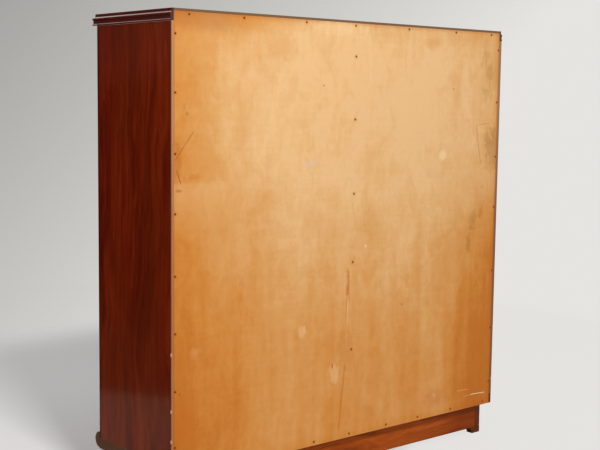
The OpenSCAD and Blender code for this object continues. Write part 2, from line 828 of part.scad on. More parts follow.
module strike_screws() {
    color(steel) mirror([1, 0, 0]) plate_screw_places() plate_screw();
}

top_board();
bottom_board();
end_panel(false);  // left_end
end_panel(true);  // right_end
end_lipping(false);  // left_end_lipping
end_lipping(true);  // right_end_lipping
centre_divider();
back_panel();
back_pins();
carcass_dowels();
sill_moulding();
jamb(false);  // left_jamb
jamb(true);  // right_jamb
inner_side(false);  // left_inner_side
inner_side(true);  // right_inner_side
false_back(false);  // left_false_back
false_back(true);  // right_false_back
shelf(false, 1);  // left_shelf_1
shelf(false, 2);  // left_shelf_2
shelf(false, 3);  // left_shelf_3
shelf(true, 1);  // right_shelf_1
shelf(true, 2);  // right_shelf_2
shelf(true, 3);  // right_shelf_3
shelf_pegs();
plinth_front_rail();
plinth_rear_rail();
plinth_side_rail(false);  // plinth_left_rail
plinth_side_rail(true);  // plinth_right_rail
plinth_cross_rail();
plinth_corner_blocks();
plinth_screws();
bracket_foot(false, true);  // front_left_foot
bracket_foot(true, true);  // front_right_foot
bracket_foot(false, false);  // rear_left_foot
bracket_foot(true, false);  // rear_right_foot
slats(false);  // left_slats
slats(true);  // right_slats
canvas(false);  // left_canvas
canvas(true);  // right_canvas
stile(false);  // left_stile
stile(true);  // right_stile
pull(false);  // left_pull
pull(true);  // right_pull
pull_screws(false);  // left_pull_screws
pull_screws(true);  // right_pull_screws
felt_buffers();
lock_case();
lock_plate_screws();
escutcheon();
escutcheon_pins();
key();
hook_bolt();
strike_plate();
strike_screws();
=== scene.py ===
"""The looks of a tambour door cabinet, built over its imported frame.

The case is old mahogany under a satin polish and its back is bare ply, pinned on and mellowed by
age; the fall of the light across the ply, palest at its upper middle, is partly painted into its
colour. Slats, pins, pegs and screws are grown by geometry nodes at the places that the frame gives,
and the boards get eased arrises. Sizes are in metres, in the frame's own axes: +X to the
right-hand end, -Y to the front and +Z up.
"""

import json
import logging
import math
from dataclasses import asdict, dataclass, field
from enum import Enum
from functools import reduce
from typing import Any, Callable, Mapping, Sequence

import bmesh
import bpy
import numpy as np
from bmesh.types import BMesh
from bpy.types import ColorRamp, ID, Material, Mesh, NodeSocket, NodeTree, Object
from mathutils import Matrix, Vector

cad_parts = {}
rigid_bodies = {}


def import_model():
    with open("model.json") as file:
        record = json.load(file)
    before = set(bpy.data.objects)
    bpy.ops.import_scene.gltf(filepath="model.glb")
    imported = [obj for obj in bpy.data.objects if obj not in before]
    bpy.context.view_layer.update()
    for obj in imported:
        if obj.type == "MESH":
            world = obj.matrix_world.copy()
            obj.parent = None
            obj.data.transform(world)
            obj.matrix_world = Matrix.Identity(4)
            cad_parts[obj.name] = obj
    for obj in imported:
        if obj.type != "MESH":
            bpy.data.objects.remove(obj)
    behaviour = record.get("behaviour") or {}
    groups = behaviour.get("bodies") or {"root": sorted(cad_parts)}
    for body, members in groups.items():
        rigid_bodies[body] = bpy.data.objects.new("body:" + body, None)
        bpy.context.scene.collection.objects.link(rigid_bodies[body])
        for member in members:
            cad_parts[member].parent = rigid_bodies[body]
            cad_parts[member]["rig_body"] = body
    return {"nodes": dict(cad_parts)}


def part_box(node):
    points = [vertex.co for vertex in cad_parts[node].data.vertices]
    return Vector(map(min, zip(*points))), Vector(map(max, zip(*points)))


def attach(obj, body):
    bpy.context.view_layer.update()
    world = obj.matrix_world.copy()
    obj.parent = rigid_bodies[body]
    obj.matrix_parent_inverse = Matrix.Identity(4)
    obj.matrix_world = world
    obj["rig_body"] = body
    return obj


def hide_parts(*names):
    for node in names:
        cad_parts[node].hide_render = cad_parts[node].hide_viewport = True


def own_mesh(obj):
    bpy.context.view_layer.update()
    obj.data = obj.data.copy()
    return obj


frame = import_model()

LOG = logging.getLogger("cabinet")
MM = 0.001
WELD = 0.001 * MM
GAMMA = 2.2
SIDES = ("left", "right")
Colour = tuple[float, ...]


def srgb(red: int, green: int, blue: int) -> Colour:
    """Turns a colour as seen on a screen, 0 to 255, into the linear values that shaders take."""
    return tuple((part / 255) ** GAMMA for part in (red, green, blue)) + (1.0,)


def _operator(operation: str, swapped: bool = False) -> Callable[["Term", "Term | float"], "Term"]:
    """Makes an operator of a term, or a method that needs no other value.

    Args:
        operation: What its Math node does.
        swapped: Whether the term comes second, as in a reflected form.

    Returns:
        The method.
    """
    def apply(self: "Term", other: "Term | float | None" = None) -> "Term":
        """Adds the node for the term and the other value, if there is one."""
        values = [value for value in (self, other) if value is not None]
        places = reversed(range(len(values))) if swapped else range(len(values))
        return self.tree.node("ShaderNodeMath", {"operation": operation}, dict(zip(places, values)))

    return apply


class Term:
    """The output of a node, used as a number in an expression.

    low and high give the lesser and the greater of two values, and size the value without its
    sign. Angles are in radians.
    """

    def __init__(self, tree: "Tree", socket: NodeSocket) -> None:
        """Keeps the tree that the socket belongs to."""
        self.tree = tree
        self.socket = socket

    __add__ = _operator("ADD")
    __radd__ = _operator("ADD", swapped=True)
    __sub__ = _operator("SUBTRACT")
    __rsub__ = _operator("SUBTRACT", swapped=True)
    __mul__ = _operator("MULTIPLY")
    __rmul__ = _operator("MULTIPLY", swapped=True)
    __truediv__ = _operator("DIVIDE")
    __rtruediv__ = _operator("DIVIDE", swapped=True)
    __pow__ = _operator("POWER")
    low = _operator("MINIMUM")
    high = _operator("MAXIMUM")
    sin = _operator("SINE")
    cos = _operator("COSINE")
    size = _operator("ABSOLUTE")

    def fade(self, start: float, end: float) -> "Term":
        """Runs smoothly from 0 at start to 1 at end, whichever is the greater."""
        limits = {0: self, 1: start, 2: end}
        return self.tree.node("ShaderNodeMapRange", {"interpolation_type": "SMOOTHSTEP"}, limits)


class Tree:
    """A node tree that is written as expressions."""

    def __init__(self, tree: NodeTree) -> None:
        """Takes an empty node tree."""
        self.tree = tree

    def node(self, kind: str, settings: Mapping[str, Any] | None = None,
             sockets: Mapping[int | str, Any] | None = None, out: int | str = 0) -> Term:
        """Adds one node.

        Args:
            kind: The node's type.
            settings: Its properties, set first. "stops" holds the places and colours of a ramp.
            sockets: Values or terms for its inputs, by number or name.
            out: Which output to give back.

        Returns:
            The chosen output.
        """
        made = self.tree.nodes.new(kind)
        for name, value in (settings or {}).items():
            if name == "stops":
                self._set_stops(made.color_ramp, value)
            else:
                setattr(made, name, value)
        for key, value in (sockets or {}).items():
            self.plug(made.inputs[key], value)
        return Term(self, made.outputs[out])

    def end(self, kind: str, last: Term) -> None:
        """Adds the node that a tree ends in."""
        self.plug(self.tree.nodes.new(kind).inputs[0], last)

    def plug(self, socket: NodeSocket, value: Any) -> None:
        """Links a term to a socket, or sets the socket's own value.

        Args:
            socket: The input.
            value: The term or the value.
        """
        if isinstance(value, Term):
            self.tree.links.new(value.socket, socket)
        else:
            socket.default_value = value

    def _set_stops(self, ramp: ColorRamp, stops: Sequence[tuple[float, Colour]]) -> None:
        """Gives a colour ramp its stops.

        Args:
            ramp: The ramp, which has two stops at first.
            stops: The place and the colour of each.
        """
        while len(ramp.elements) < len(stops):
            ramp.elements.new(0.5)
        for element, (place, colour) in zip(ramp.elements, stops):
            element.position = place
            element.color = colour

    def outs(self, term: Term) -> dict[str, Term]:
        """All the outputs of the node that a term comes from, by name."""
        return {socket.name: Term(self, socket) for socket in term.socket.node.outputs}

    def split(self, vector: Term) -> list[Term]:
        """The three parts of a vector."""
        return list(self.outs(self.node("ShaderNodeSeparateXYZ", {}, {0: vector})).values())

    def vector(self, x: Term | float, y: Term | float, z: Term | float) -> Term:
        """A vector of three parts."""
        return self.node("ShaderNodeCombineXYZ", {}, {0: x, 1: y, 2: z})


class ShaderTree(Tree):
    """The tree of one material, with the words that its recipe needs."""

    def __init__(self, name: str) -> None:
        """Makes an empty material."""
        self.material = bpy.data.materials.new(name)
        self.material.use_nodes = True
        self.material.node_tree.nodes.clear()
        super().__init__(self.material.node_tree)

    def place(self) -> Term:
        """Where the surface is, in the object's own axes."""
        return self.node("ShaderNodeTexCoord", out="Object")

    def facing(self) -> list[Term]:
        """The three parts of the surface's normal, in the object's own axes."""
        return self.split(self.node("ShaderNodeTexCoord", out="Normal"))

    def distance(self, vector: Term, point: Sequence[float]) -> Term:
        """How far the vector's end is from a point."""
        return self.node("ShaderNodeVectorMath", {"operation": "DISTANCE"}, {0: vector, 1: point},
                         out="Value")

    def noise(self, vector: Term, scale: float = 1.0, detail: float = 3.0, rough: float = 0.55,
              swirl: float = 0.0) -> Term:
        """Cloudy noise, from 0 to 1."""
        values = (vector, scale, detail, rough, swirl)
        names = ("Vector", "Scale", "Detail", "Roughness", "Distortion")
        return self.node("ShaderNodeTexNoise", {}, dict(zip(names, values)))

    def fibres(self, vector: Term, across: float, along: float, **more: float) -> Term:
        """Noise with one scale across the vector's last axis and another along it."""
        scales = {0: vector, 1: (across, across, along)}
        return self.noise(self.node("ShaderNodeVectorMath", {"operation": "MULTIPLY"}, scales), **more)

    def blend(self, first: Term | Colour, second: Term | Colour, share: Term | float) -> Term:
        """A mix of two colours."""
        settings = {"data_type": "RGBA", "blend_type": "MIX"}
        return self.node("ShaderNodeMix", settings, {0: share, 6: first, 7: second}, out=2)

    def coats(self, colour: Term | Colour, *coats: tuple[Term | Colour, Term | float]) -> Term:
        """A colour with others laid over it, each of them with its share."""
        return reduce(lambda under, coat: self.blend(under, *coat), coats, colour)

    def ramp(self, value: Term, stops: Sequence[tuple[float, Colour]]) -> Term:
        """A colour read from stops along a value."""
        return self.node("ShaderNodeValToRGB", {"stops": stops}, {0: value})

    def bump(self, height: Term, depth: float, strength: float = 1.0) -> Term:
        """A normal that stands for a height, whose full range is depth metres."""
        values = {"Height": height, "Distance": depth, "Strength": strength}
        return self.node("ShaderNodeBump", {}, values)

    def finish(self, **sockets: Any) -> Material:
        """Closes the tree with a shader.

        Args:
            **sockets: The shader's inputs, with underscores for the spaces in their names.

        Returns:
            The material.
        """
        named = {key.replace("_", " "): value for key, value in sockets.items()}
        self.end("ShaderNodeOutputMaterial", self.node("ShaderNodeBsdfPrincipled", {}, named))
        return self.material


class Grain(Enum):
    """The axis that the fibres of a board run along, given last, after its other two axes."""

    ACROSS = (1, 2, 0)
    DEEP = (0, 2, 1)
    UPRIGHT = (0, 1, 2)


@dataclass(frozen=True)
class Mahogany:
    """Old polished mahogany: wavy stripes, open pores, darker end grain and worn patches.

    The rear edge behind bare_from, along Y, was left unpolished, and is dark further out than
    rim_from and chipped at the heights in chips. Painted shade, as cast under an overhang, darkens
    the wood upward from 20 mm below the height where that shade is full, and the wood is darker
    past dark_past, along X. A painted sheen, a pale haze of reflection, lightens it upward over
    160 mm from a given height.
    per_piece names the attribute that tells copies apart: they are cut up to apart metres from
    one another along the grain, and varied is the range of their tone.
    """

    name: str
    grain: Grain
    dark: Colour = srgb(86, 23, 6)
    body: Colour = srgb(113, 34, 10)
    light: Colour = srgb(142, 52, 18)
    olive: Colour = srgb(98, 42, 14)
    ends: Colour = srgb(72, 28, 13)
    pore: Colour = srgb(42, 14, 6)
    overhang_shade: Colour = srgb(74, 26, 4)
    painted_sheen: Colour = srgb(140, 66, 50)
    bare: Colour = srgb(194, 134, 86)
    bare_low: Colour = srgb(184, 112, 58)
    chip: Colour = srgb(214, 168, 132)
    rim: Colour = srgb(66, 40, 34)
    gloss: float = 0.08
    shine: float = 0.42
    figure: float = 1.0
    apart: float = 7.3
    varied: float = 0.24
    bare_from: float | None = None
    rim_from: float = 1.0
    chips: tuple[float, ...] = ()
    overhang_shade_above: float | None = None
    dark_past: float | None = None
    painted_sheen_above: float | None = None
    per_piece: str | None = None

    def material(self) -> Material:
        """Builds the material.

        Returns:
            The material, which bears the finish's name.
        """
        tree = ShaderTree(self.name)
        place = tree.split(tree.place())
        facing = tree.facing()
        u, v, along = (place[i] for i in self.grain.value)
        tint: Term | float = 0.0
        if self.per_piece:
            drawn = tree.node("ShaderNodeAttribute", {"attribute_name": self.per_piece}, out="Fac")
            along = along + drawn * self.apart
            tint = (drawn - 0.5) * self.varied
        line = tree.vector(u, v, along)
        slow = tree.fibres(line, 3, 1.4, detail=2.0) - 0.5
        quick = tree.fibres(line, 9, 5.0, detail=2.0) - 0.5
        sway = slow * (0.11 * self.figure) + quick * (0.022 * self.figure)
        line = tree.vector(u + sway, v + sway, along)
        flame = tree.fibres(line, 17, 1.8, rough=0.6, swirl=0.7)
        stripe = tree.fibres(line, 75, 2.6, rough=0.6)
        cast = tree.fibres(line, 5, 1.6, detail=2.0).fade(0.45, 0.70)
        fleck = tree.fibres(line, 330, 9.0, detail=2.0)
        pores = tree.fibres(line, 1500, 34, detail=1.0).fade(0.60, 0.70)
        tone = flame.fade(0.26, 0.74) * 0.52 + stripe.fade(0.25, 0.75) * 0.32 + 0.01 + tint
        tone = tone + (fleck - 0.5) * 0.24
        colour = tree.ramp(tone, [(0.10, self.dark), (0.48, self.body), (0.92, self.light)])
        worn = tree.noise(tree.place(), scale=8.0, detail=4.0, rough=0.6)
        end_grain = facing[self.grain.value[2]].size().fade(0.75, 0.95)
        colour = tree.coats(colour, (self.olive, cast * 0.35), (self.pore, pores * 0.3),
                            (self.light, worn.fade(0.60, 0.82) * 0.2),
                            (self.ends, end_grain * (0.6 + stripe * 0.4)))
        rough = worn * 0.05 + pores * 0.06 + end_grain * 0.3 + self.gloss
        # Painted shade, as cast under an overhang, darkens the top of the wood.
        if self.overhang_shade_above is not None:
            overhang_shade = place[2].fade(self.overhang_shade_above - 0.020, self.overhang_shade_above)
            colour = tree.blend(colour, self.overhang_shade, overhang_shade * 0.4)
        # Painted sheen: a pale haze of reflection lightens the wood near its top.
        if self.painted_sheen_above is not None:
            painted_sheen = place[2].fade(self.painted_sheen_above, self.painted_sheen_above + 0.16)
            colour = tree.blend(colour, self.painted_sheen, painted_sheen * 0.18)
        if self.dark_past is not None:
            shaded = place[0].fade(self.dark_past, self.dark_past - 0.1)
            colour = tree.blend(colour, self.dark, shaded * 0.65)
        if self.bare_from is not None:
            edge = place[1].fade(self.bare_from - 0.4 * MM, self.bare_from) * facing[1].fade(0.5, 0.9)
            colour = tree.blend(colour, self._raw(tree, place, stripe, worn), edge)
            rough = rough + edge * 0.35
        height = stripe * 0.3 - pores * 0.5
        return tree.finish(Base_Color=colour, Roughness=rough, Specular_IOR_Level=self.shine,
                           Normal=tree.bump(height, 0.2 * MM, 0.25))

    def _raw(self, tree: ShaderTree, place: Sequence[Term], stripe: Term, worn: Term) -> Term:
        """The colour of the bare rear edge.

        Args:
            tree: The material's tree.
            place: Where the surface is, in three parts.
            stripe: The fine figure of the wood.
            worn: The clouds of wear.

        Returns:
            The colour, with the dark rim and the chips.
        """
        outward = place[0].size()
        raw = tree.blend(self.bare, self.bare_low, place[2].fade(1.1, 0.6))
        raw = tree.coats(raw, (self.rim, stripe.fade(0.3, 0.75) * 0.12 + worn * 0.06),
                         (self.rim, outward.fade(self.rim_from - 0.8 * MM, self.rim_from + 0.4 * MM)))
        corner = outward.fade(self.rim_from - 4 * MM, self.rim_from - 1 * MM)
        for height in self.chips:
            chipped = (place[2] - height).size().fade(6 * MM, 2 * MM) * corner
            raw = tree.blend(raw, self.chip, chipped * 0.7)
        return raw


@dataclass(frozen=True)
class Streak:
    """A thin mark on the ply between two points, in millimetres from its middle and its foot.

    Its width is in millimetres too. A sunk one is a crack, and a broken one fades by that share in
    places. stray is the breadth of its wander and taper lengthens the fade at its ends, in metres.
    """

    x: float
    up: float
    to_x: float
    to_up: float
    width: float
    colour: Colour
    share: float
    sunk: bool = False
    broken: float = 0.0
    stray: float = 5 * MM
    taper: float = 3 * MM

    def mask(self, x: Term, up: Term, smudge: Term) -> Term:
        """Where the mark is.

        Args:
            x: How far across the ply the surface is.
            up: How far above the ply's foot it is.
            smudge: Small clouds, by which the mark strays and breaks.

        Returns:
            One on the mark, and none beside it or past its ends.
        """
        run = Vector((self.to_x - self.x, self.to_up - self.up)) * MM
        length = run.length
        ahead = run / length
        width = self.width * MM
        taper = width + self.taper
        dx = x - self.x * MM
        dz = up - self.up * MM
        along = dx * ahead.x + dz * ahead.y
        beside = (dx * ahead.y - dz * ahead.x + (smudge - 0.5) * self.stray).size()
        ends = along.fade(-taper, taper) * along.fade(length + taper, length - taper)
        mask = beside.fade(width, width * 0.3) * ends
        if self.broken:
            mask = mask * (1 - smudge.fade(0.58, 0.42) * self.broken)
        return mask


@dataclass(frozen=True)
class Spot:
    """A soft mark on the ply, in millimetres from its middle and its foot, more or less ragged."""

    x: float
    up: float
    wide: float
    high: float
    colour: Colour
    share: float
    ragged: float = 1.6

    def mask(self, x: Term, up: Term, smudge: Term) -> Term:
        """Where the mark is.

        Args:
            x: How far across the ply the surface is.
            up: How far above the ply's foot it is.
            smudge: Small clouds, which make the edge ragged.

        Returns:
            One in the middle of the mark, and none outside it.
        """
        dx = (x - self.x * MM) / (self.wide * MM)
        dz = (up - self.up * MM) / (self.high * MM)
        ring = (dx * dx + dz * dz) ** 0.5 + (smudge - 0.5) * self.ragged
        return ring.fade(1.2, 0.35)


@dataclass(frozen=True)
class AgedPlyWithPaintedLight:
    """The bare ply of the back: pale honey at the top, browner at its foot and its edges, partly from age
    and partly as painted light falling off from the upper middle.
    """

    name: str = "aged_ply_with_painted_light"
    cream: Colour = srgb(238, 191, 134)
    honey: Colour = srgb(222, 160, 93)
    amber: Colour = srgb(213, 137, 61)
    brown: Colour = srgb(196, 110, 33)
    burnt: Colour = srgb(168, 84, 18)
    crack: Colour = srgb(124, 60, 16)
    pale: Colour = srgb(246, 206, 152)
    stain: Colour = srgb(172, 116, 48)
    chalk: Colour = srgb(250, 218, 176)
    straw: Colour = srgb(222, 172, 90)
    lilac: Colour = srgb(224, 192, 168)
    tan: Colour = srgb(200, 146, 80)
    ochre: Colour = srgb(190, 132, 62)
    umber: Colour = srgb(184, 128, 80)
    olive: Colour = srgb(184, 128, 70)
    russet: Colour = srgb(204, 122, 62)
    halo: Colour = srgb(182, 92, 14)
    rust: Colour = srgb(100, 34, 0)

    def streaks(self) -> list[Streak]:
        """Cracks, scratches and runs, where the photograph shows them."""
        fine = 1.7
        return [
            Streak(543, 867, 597, 798, fine, self.crack, 0.55, sunk=True, broken=0.3),
            Streak(594, 776, 579, 741, 2.4, self.crack, 0.5, sunk=True),
            Streak(-505, 879, -517, 813, fine, self.crack, 0.5, sunk=True, broken=0.3),
            Streak(-517, 813, -529, 761, fine, self.crack, 0.6, sunk=True, broken=0.3),
            Streak(-553, 883, -505, 879, fine, self.crack, 0.35, sunk=True, broken=0.4),
            Streak(-515, 41, -578, 38, 2.2, self.pale, 0.9),
            Streak(-480, 40, -530, 40, 1.4, self.pale, 0.5, broken=0.4),
            Streak(-450, 62, -500, 60, 2.0, self.pale, 0.4, broken=0.5),
            Streak(12, 690, -20, 560, 2.0, self.amber, 0.3, broken=0.5),
            Streak(18, 480, 16, 392, 9.0, self.brown, 0.75, broken=0.5),
            Streak(15, 410, 19, 330, 2.0, self.pale, 0.45),
            Streak(21, 400, 22, 330, 1.6, self.burnt, 0.45),
            Streak(19, 300, 18, 262, 1.6, self.pale, 0.35),
            Streak(24, 215, 44, 27, 5.0, self.brown, 0.5),
            Streak(-49, 1144, -60, 980, 5.0, self.pale, 0.25, broken=0.5),
            Streak(-82, 1146, -86, 1050, 4.0, self.pale, 0.2, broken=0.5),
            Streak(-515, 475, -525, 380, 2.0, self.crack, 0.3, broken=0.5),
        ]

    def spots(self) -> list[Spot]:
        """Pale knocks and dark stains, where the photograph shows them."""
        dot = 3.5
        return [
            Spot(-358, 789, 19, 19, self.pale, 0.8, 0.7),
            Spot(-49, 543, 4, 4, self.chalk, 0.7),
            Spot(185, 320, 15, 26, self.pale, 0.3, 2.4),
            Spot(176, 334, 6, 14, self.pale, 0.35, 2.0),
            Spot(64, 190, 22, 34, self.pale, 0.3, 2.4),
            Spot(539, 314, 18, 18, self.pale, 0.14, 1.6),
            Spot(545, 160, 36, 30, self.brown, 0.10, 2.0),
            Spot(262, 1085, 55, 45, self.amber, 0.35, 1.6),
            Spot(505, 1142, 130, 36, self.umber, 0.4, 1.6),
            Spot(60, 1140, 130, 22, self.pale, 0.45, 1.6),
            Spot(-344, 65, 9, 9, self.pale, 0.4, 3.0),
            Spot(-310, 320, 26, 22, self.straw, 0.45, 2.5),
            Spot(160, 778, 30, 9, self.lilac, 0.5, 2.5),
            Spot(-500, 590, 20, 30, self.stain, 0.42, 4.0),
            Spot(-485, 525, 14, 34, self.stain, 0.5, 4.5),
            Spot(-535, 610, 12, 16, self.stain, 0.36, 3.0),
            Spot(-540, 690, 10, 10, self.stain, 0.18, 3.0),
            Spot(-575, 1040, 60, 90, self.tan, 0.3, 2.0),
            Spot(-535, 1085, 16, 20, self.ochre, 0.34, 4.0),
            Spot(-556, 1040, 18, 26, self.ochre, 0.40, 4.0),
            Spot(-546, 970, 20, 24, self.stain, 0.26, 4.5),
            Spot(-565, 840, 26, 40, self.stain, 0.3, 4.0),
            Spot(-590, 805, 46, 76, self.olive, 0.6, 1.6),
            Spot(-478, 650, 34, 54, self.cream, 0.30, 1.2),
            Spot(386, 560, 34, 120, self.cream, 0.22, 1.2),
            Spot(-356, 58, 56, 34, self.russet, 0.45, 1.6),
            Spot(-304, 1118, 40, 22, self.amber, 0.35, 1.6),
            Spot(562, 912, 5, 6, self.crack, 0.32, 1.6),
            Spot(570, 930, 4, 12, self.brown, 0.4, 2.0),
            Spot(545, 757, 22, 10, self.brown, 0.4, 3.5),
            Spot(588, 800, 12, 60, self.burnt, 0.35, 2.0),
            Spot(584, 724, 11, 4, self.crack, 0.35, 2.0),
            Spot(20, 260, 40, 60, self.brown, 0.3, 2.0),
            Spot(118, 988, dot, dot, self.crack, 0.6),
            Spot(-398, 986, dot, dot, self.crack, 0.5),
            Spot(-199, 360, dot, dot, self.crack, 0.6),
            Spot(71, 214, 2.4, 8, self.crack, 0.75, 0.6),
            Spot(583, 215, dot, dot, self.crack, 0.4),
        ]

    def material(self) -> Material:
        """Builds the material.

        Returns:
            The material, which bears the finish's name.
        """
        low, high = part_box("back_panel")
        tree = ShaderTree(self.name)
        place = tree.place()
        x, _, z = tree.split(place)
        across = x / high.x
        up = z - low.z
        cloud = tree.fibres(place, 6, 4.5, swirl=0.6)
        patch = tree.fibres(place, 24, 15, rough=0.6, swirl=0.8)
        brush = tree.fibres(place, 9, 70, rough=0.6, swirl=0.4)
        smudge = tree.fibres(place, 70, 45, rough=0.6, swirl=0.5)
        stripe = tree.fibres(place, 75, 7)
        runs = tree.fibres(place, 20, 1.8, detail=2.0, rough=0.5)
        fibre = tree.fibres(place, 900, 22, detail=2.0)
        pore = tree.fibres(place, 1500, 55, detail=1.0).fade(0.62, 0.72)
        # Painted light and age: darker towards the sides and the foot, partly the ply's ageing and partly
        # painted fall-off of the lamp's light from the upper middle.
        near = across.fade(0.24, 1.0) * 0.33 + across.fade(0.80, 1.0) * 0.15
        fall = up.fade(0.85, 0.45) * 0.34 + up.fade(0.7, 1.1) * 0.05 + 0.12
        far = across.fade(-0.50, -1.0) * fall
        upper = up.fade(1.10, 1.16) * (across.fade(0.1, 0.7) * 0.22 + 0.10)
        rim = across.fade(-0.95, -1.0) * 0.16 + upper + up.fade(0.03, 0.0) * 0.1
        tone = up.fade(0.90, 0.1) * 0.44 + near + far + rim
        clouds = ((cloud, 0.42), (patch, 0.34), (brush, 0.12), (stripe, 0.07), (fibre, 0.07),
                  (smudge, 0.13), (runs, up.fade(0.75, 0.3) * 0.48))
        for noise, weight in clouds:
            tone = tone + (noise - 0.5) * weight
        stops = [(0.0, self.cream), (0.3, self.honey), (0.6, self.amber), (0.88, self.brown),
                 (1.0, self.burnt)]
        colour = tree.ramp(tone.low(tone * 0.35 + 0.51), stops)
        joint = across.fade(0.990, 0.998) * 0.3 + across.fade(-0.988, -0.997) * 0.5
        below = up.fade(0.748, 0.736) * up.fade(0.60, 0.73) * across.size().fade(0.4, 1.0)
        colour = tree.coats(colour, (self.brown, pore * 0.3), (self.burnt, up.fade(1.146, 1.162) * 0.4),
                            (self.burnt, joint), (self.cream, below * 0.26))
        groove: Term | float = 0.0
        for streak in self.streaks():
            mask = streak.mask(x, up, smudge)
            colour = tree.blend(colour, streak.colour, mask * streak.share)
            if streak.sunk:
                groove = mask.high(groove)
        for spot in self.spots():
            colour = tree.blend(colour, spot.colour, spot.mask(x, up, smudge) * spot.share)
        pin = reduce(Term.low, [tree.distance(place, head.place) for head in fasteners("back_pins")])
        colour = tree.coats(colour, (self.halo, pin.fade(8 * MM, 3 * MM) * 0.4),
                            (self.rust, pin.fade(3.4 * MM, 1.8 * MM) * 0.85))
        height = fibre * 0.35 + stripe * 0.35 + patch * 0.6 - groove * 1.6
        return tree.finish(Base_Color=colour, Roughness=0.52 + patch * 0.12,
                           Specular_IOR_Level=0.18, Normal=tree.bump(height, 0.35 * MM, 0.5))


@dataclass(frozen=True)
class PlainWood:
    """Unpolished or thinly varnished wood of the inside."""

    name: str
    grain: Grain
    dark: Colour
    light: Colour
    gloss: float = 0.5

    def material(self) -> Material:
        """Builds the material.

        Returns:
            The material, which bears the finish's name.
        """
        tree = ShaderTree(self.name)
        place = tree.split(tree.place())
        u, v, along = (place[i] for i in self.grain.value)
        sway = tree.fibres(tree.vector(u, v, along), 4, 1, detail=2.0) - 0.5
        line = tree.vector(u + sway * 0.04, v + sway * 0.04, along)
        rings = tree.fibres(line, 26, 0.9, rough=0.6, swirl=0.3)
        fibre = tree.fibres(line, 420, 7, detail=2.0)
        dust = tree.noise(tree.place(), scale=5.0, detail=4.0, rough=0.6)
        tone = rings.fade(0.3, 0.7) * 0.65 + fibre * 0.35
        colour = tree.blend(self.dark, self.light, tone)
        colour = tree.blend(colour, self.dark, dust.fade(0.5, 0.8) * 0.35)
        end_grain = tree.facing()[self.grain.value[2]].size().fade(0.75, 0.95)
        colour = tree.blend(colour, self.dark, end_grain * 0.7)
        return tree.finish(Base_Color=colour, Roughness=fibre * 0.12 + self.gloss,
                           Specular_IOR_Level=0.3, Normal=tree.bump(fibre, 0.2 * MM, 0.35))


@dataclass(frozen=True)
class Metal:
    """Brass or steel that has dulled, with fine scratches."""

    name: str
    clean: Colour
    dull: Colour
    gloss: float
    tarnish: float

    def material(self) -> Material:
        """Builds the material.

        Returns:
            The material, which bears the finish's name.
        """
        tree = ShaderTree(self.name)
        place = tree.place()
        cloud = tree.noise(place, scale=140.0, detail=4.0, rough=0.65)
        scratch = tree.fibres(place, 260, 6000, detail=2.0)
        old = cloud.fade(0.35, 0.7) * self.tarnish
        colour = tree.blend(self.clean, self.dull, old)
        return tree.finish(Base_Color=colour, Roughness=old * 0.3 + scratch * 0.12 + self.gloss,
                           Metallic=1.0, Normal=tree.bump(scratch, 0.05 * MM, 0.3))


@dataclass(frozen=True)
class Rust:
    """Iron that has gone brown, as the heads of old pins do."""

    name: str
    dark: Colour = srgb(36, 10, 1)
    bright: Colour = srgb(76, 25, 3)

    def material(self) -> Material:
        """Builds the material.

        Returns:
            The material, which bears the finish's name.
        """
        tree = ShaderTree(self.name)
        crust = tree.noise(tree.place(), scale=900.0, rough=0.6)
        colour = tree.blend(self.dark, self.bright, crust.fade(0.4, 0.75))
        return tree.finish(Base_Color=colour, Roughness=crust * 0.2 + 0.6, Specular_IOR_Level=0.04,
                           Normal=tree.bump(crust, 0.1 * MM, 0.6))


@dataclass(frozen=True)
class Cloth:
    """Plain woven canvas, or pressed felt where the weave is left out."""

    name: str
    thread: Colour
    gap: Colour
    pitch: float
    woven: bool = True

    def material(self) -> Material:
        """Builds the material.

        Returns:
            The material, which bears the finish's name.
        """
        tree = ShaderTree(self.name)
        place = tree.place()
        x, y, z = tree.split(place)
        fuzz = tree.noise(place, scale=1.2 / self.pitch, rough=0.6)
        height = fuzz
        if self.woven:
            turn = 2 * math.pi / self.pitch
            height = ((x + y) * turn).sin() * (z * turn).sin() * 0.35 + 0.5 + (fuzz - 0.5) * 0.4
        stain = tree.noise(place, scale=6.0)
        colour = tree.blend(self.gap, self.thread, height.fade(0.2, 0.75))
        colour = tree.blend(colour, self.gap, stain.fade(0.5, 0.8) * 0.5)
        return tree.finish(Base_Color=colour, Roughness=fuzz * 0.1 + 0.85, Specular_IOR_Level=0.15,
                           Normal=tree.bump(height, 0.4 * MM, 0.5))


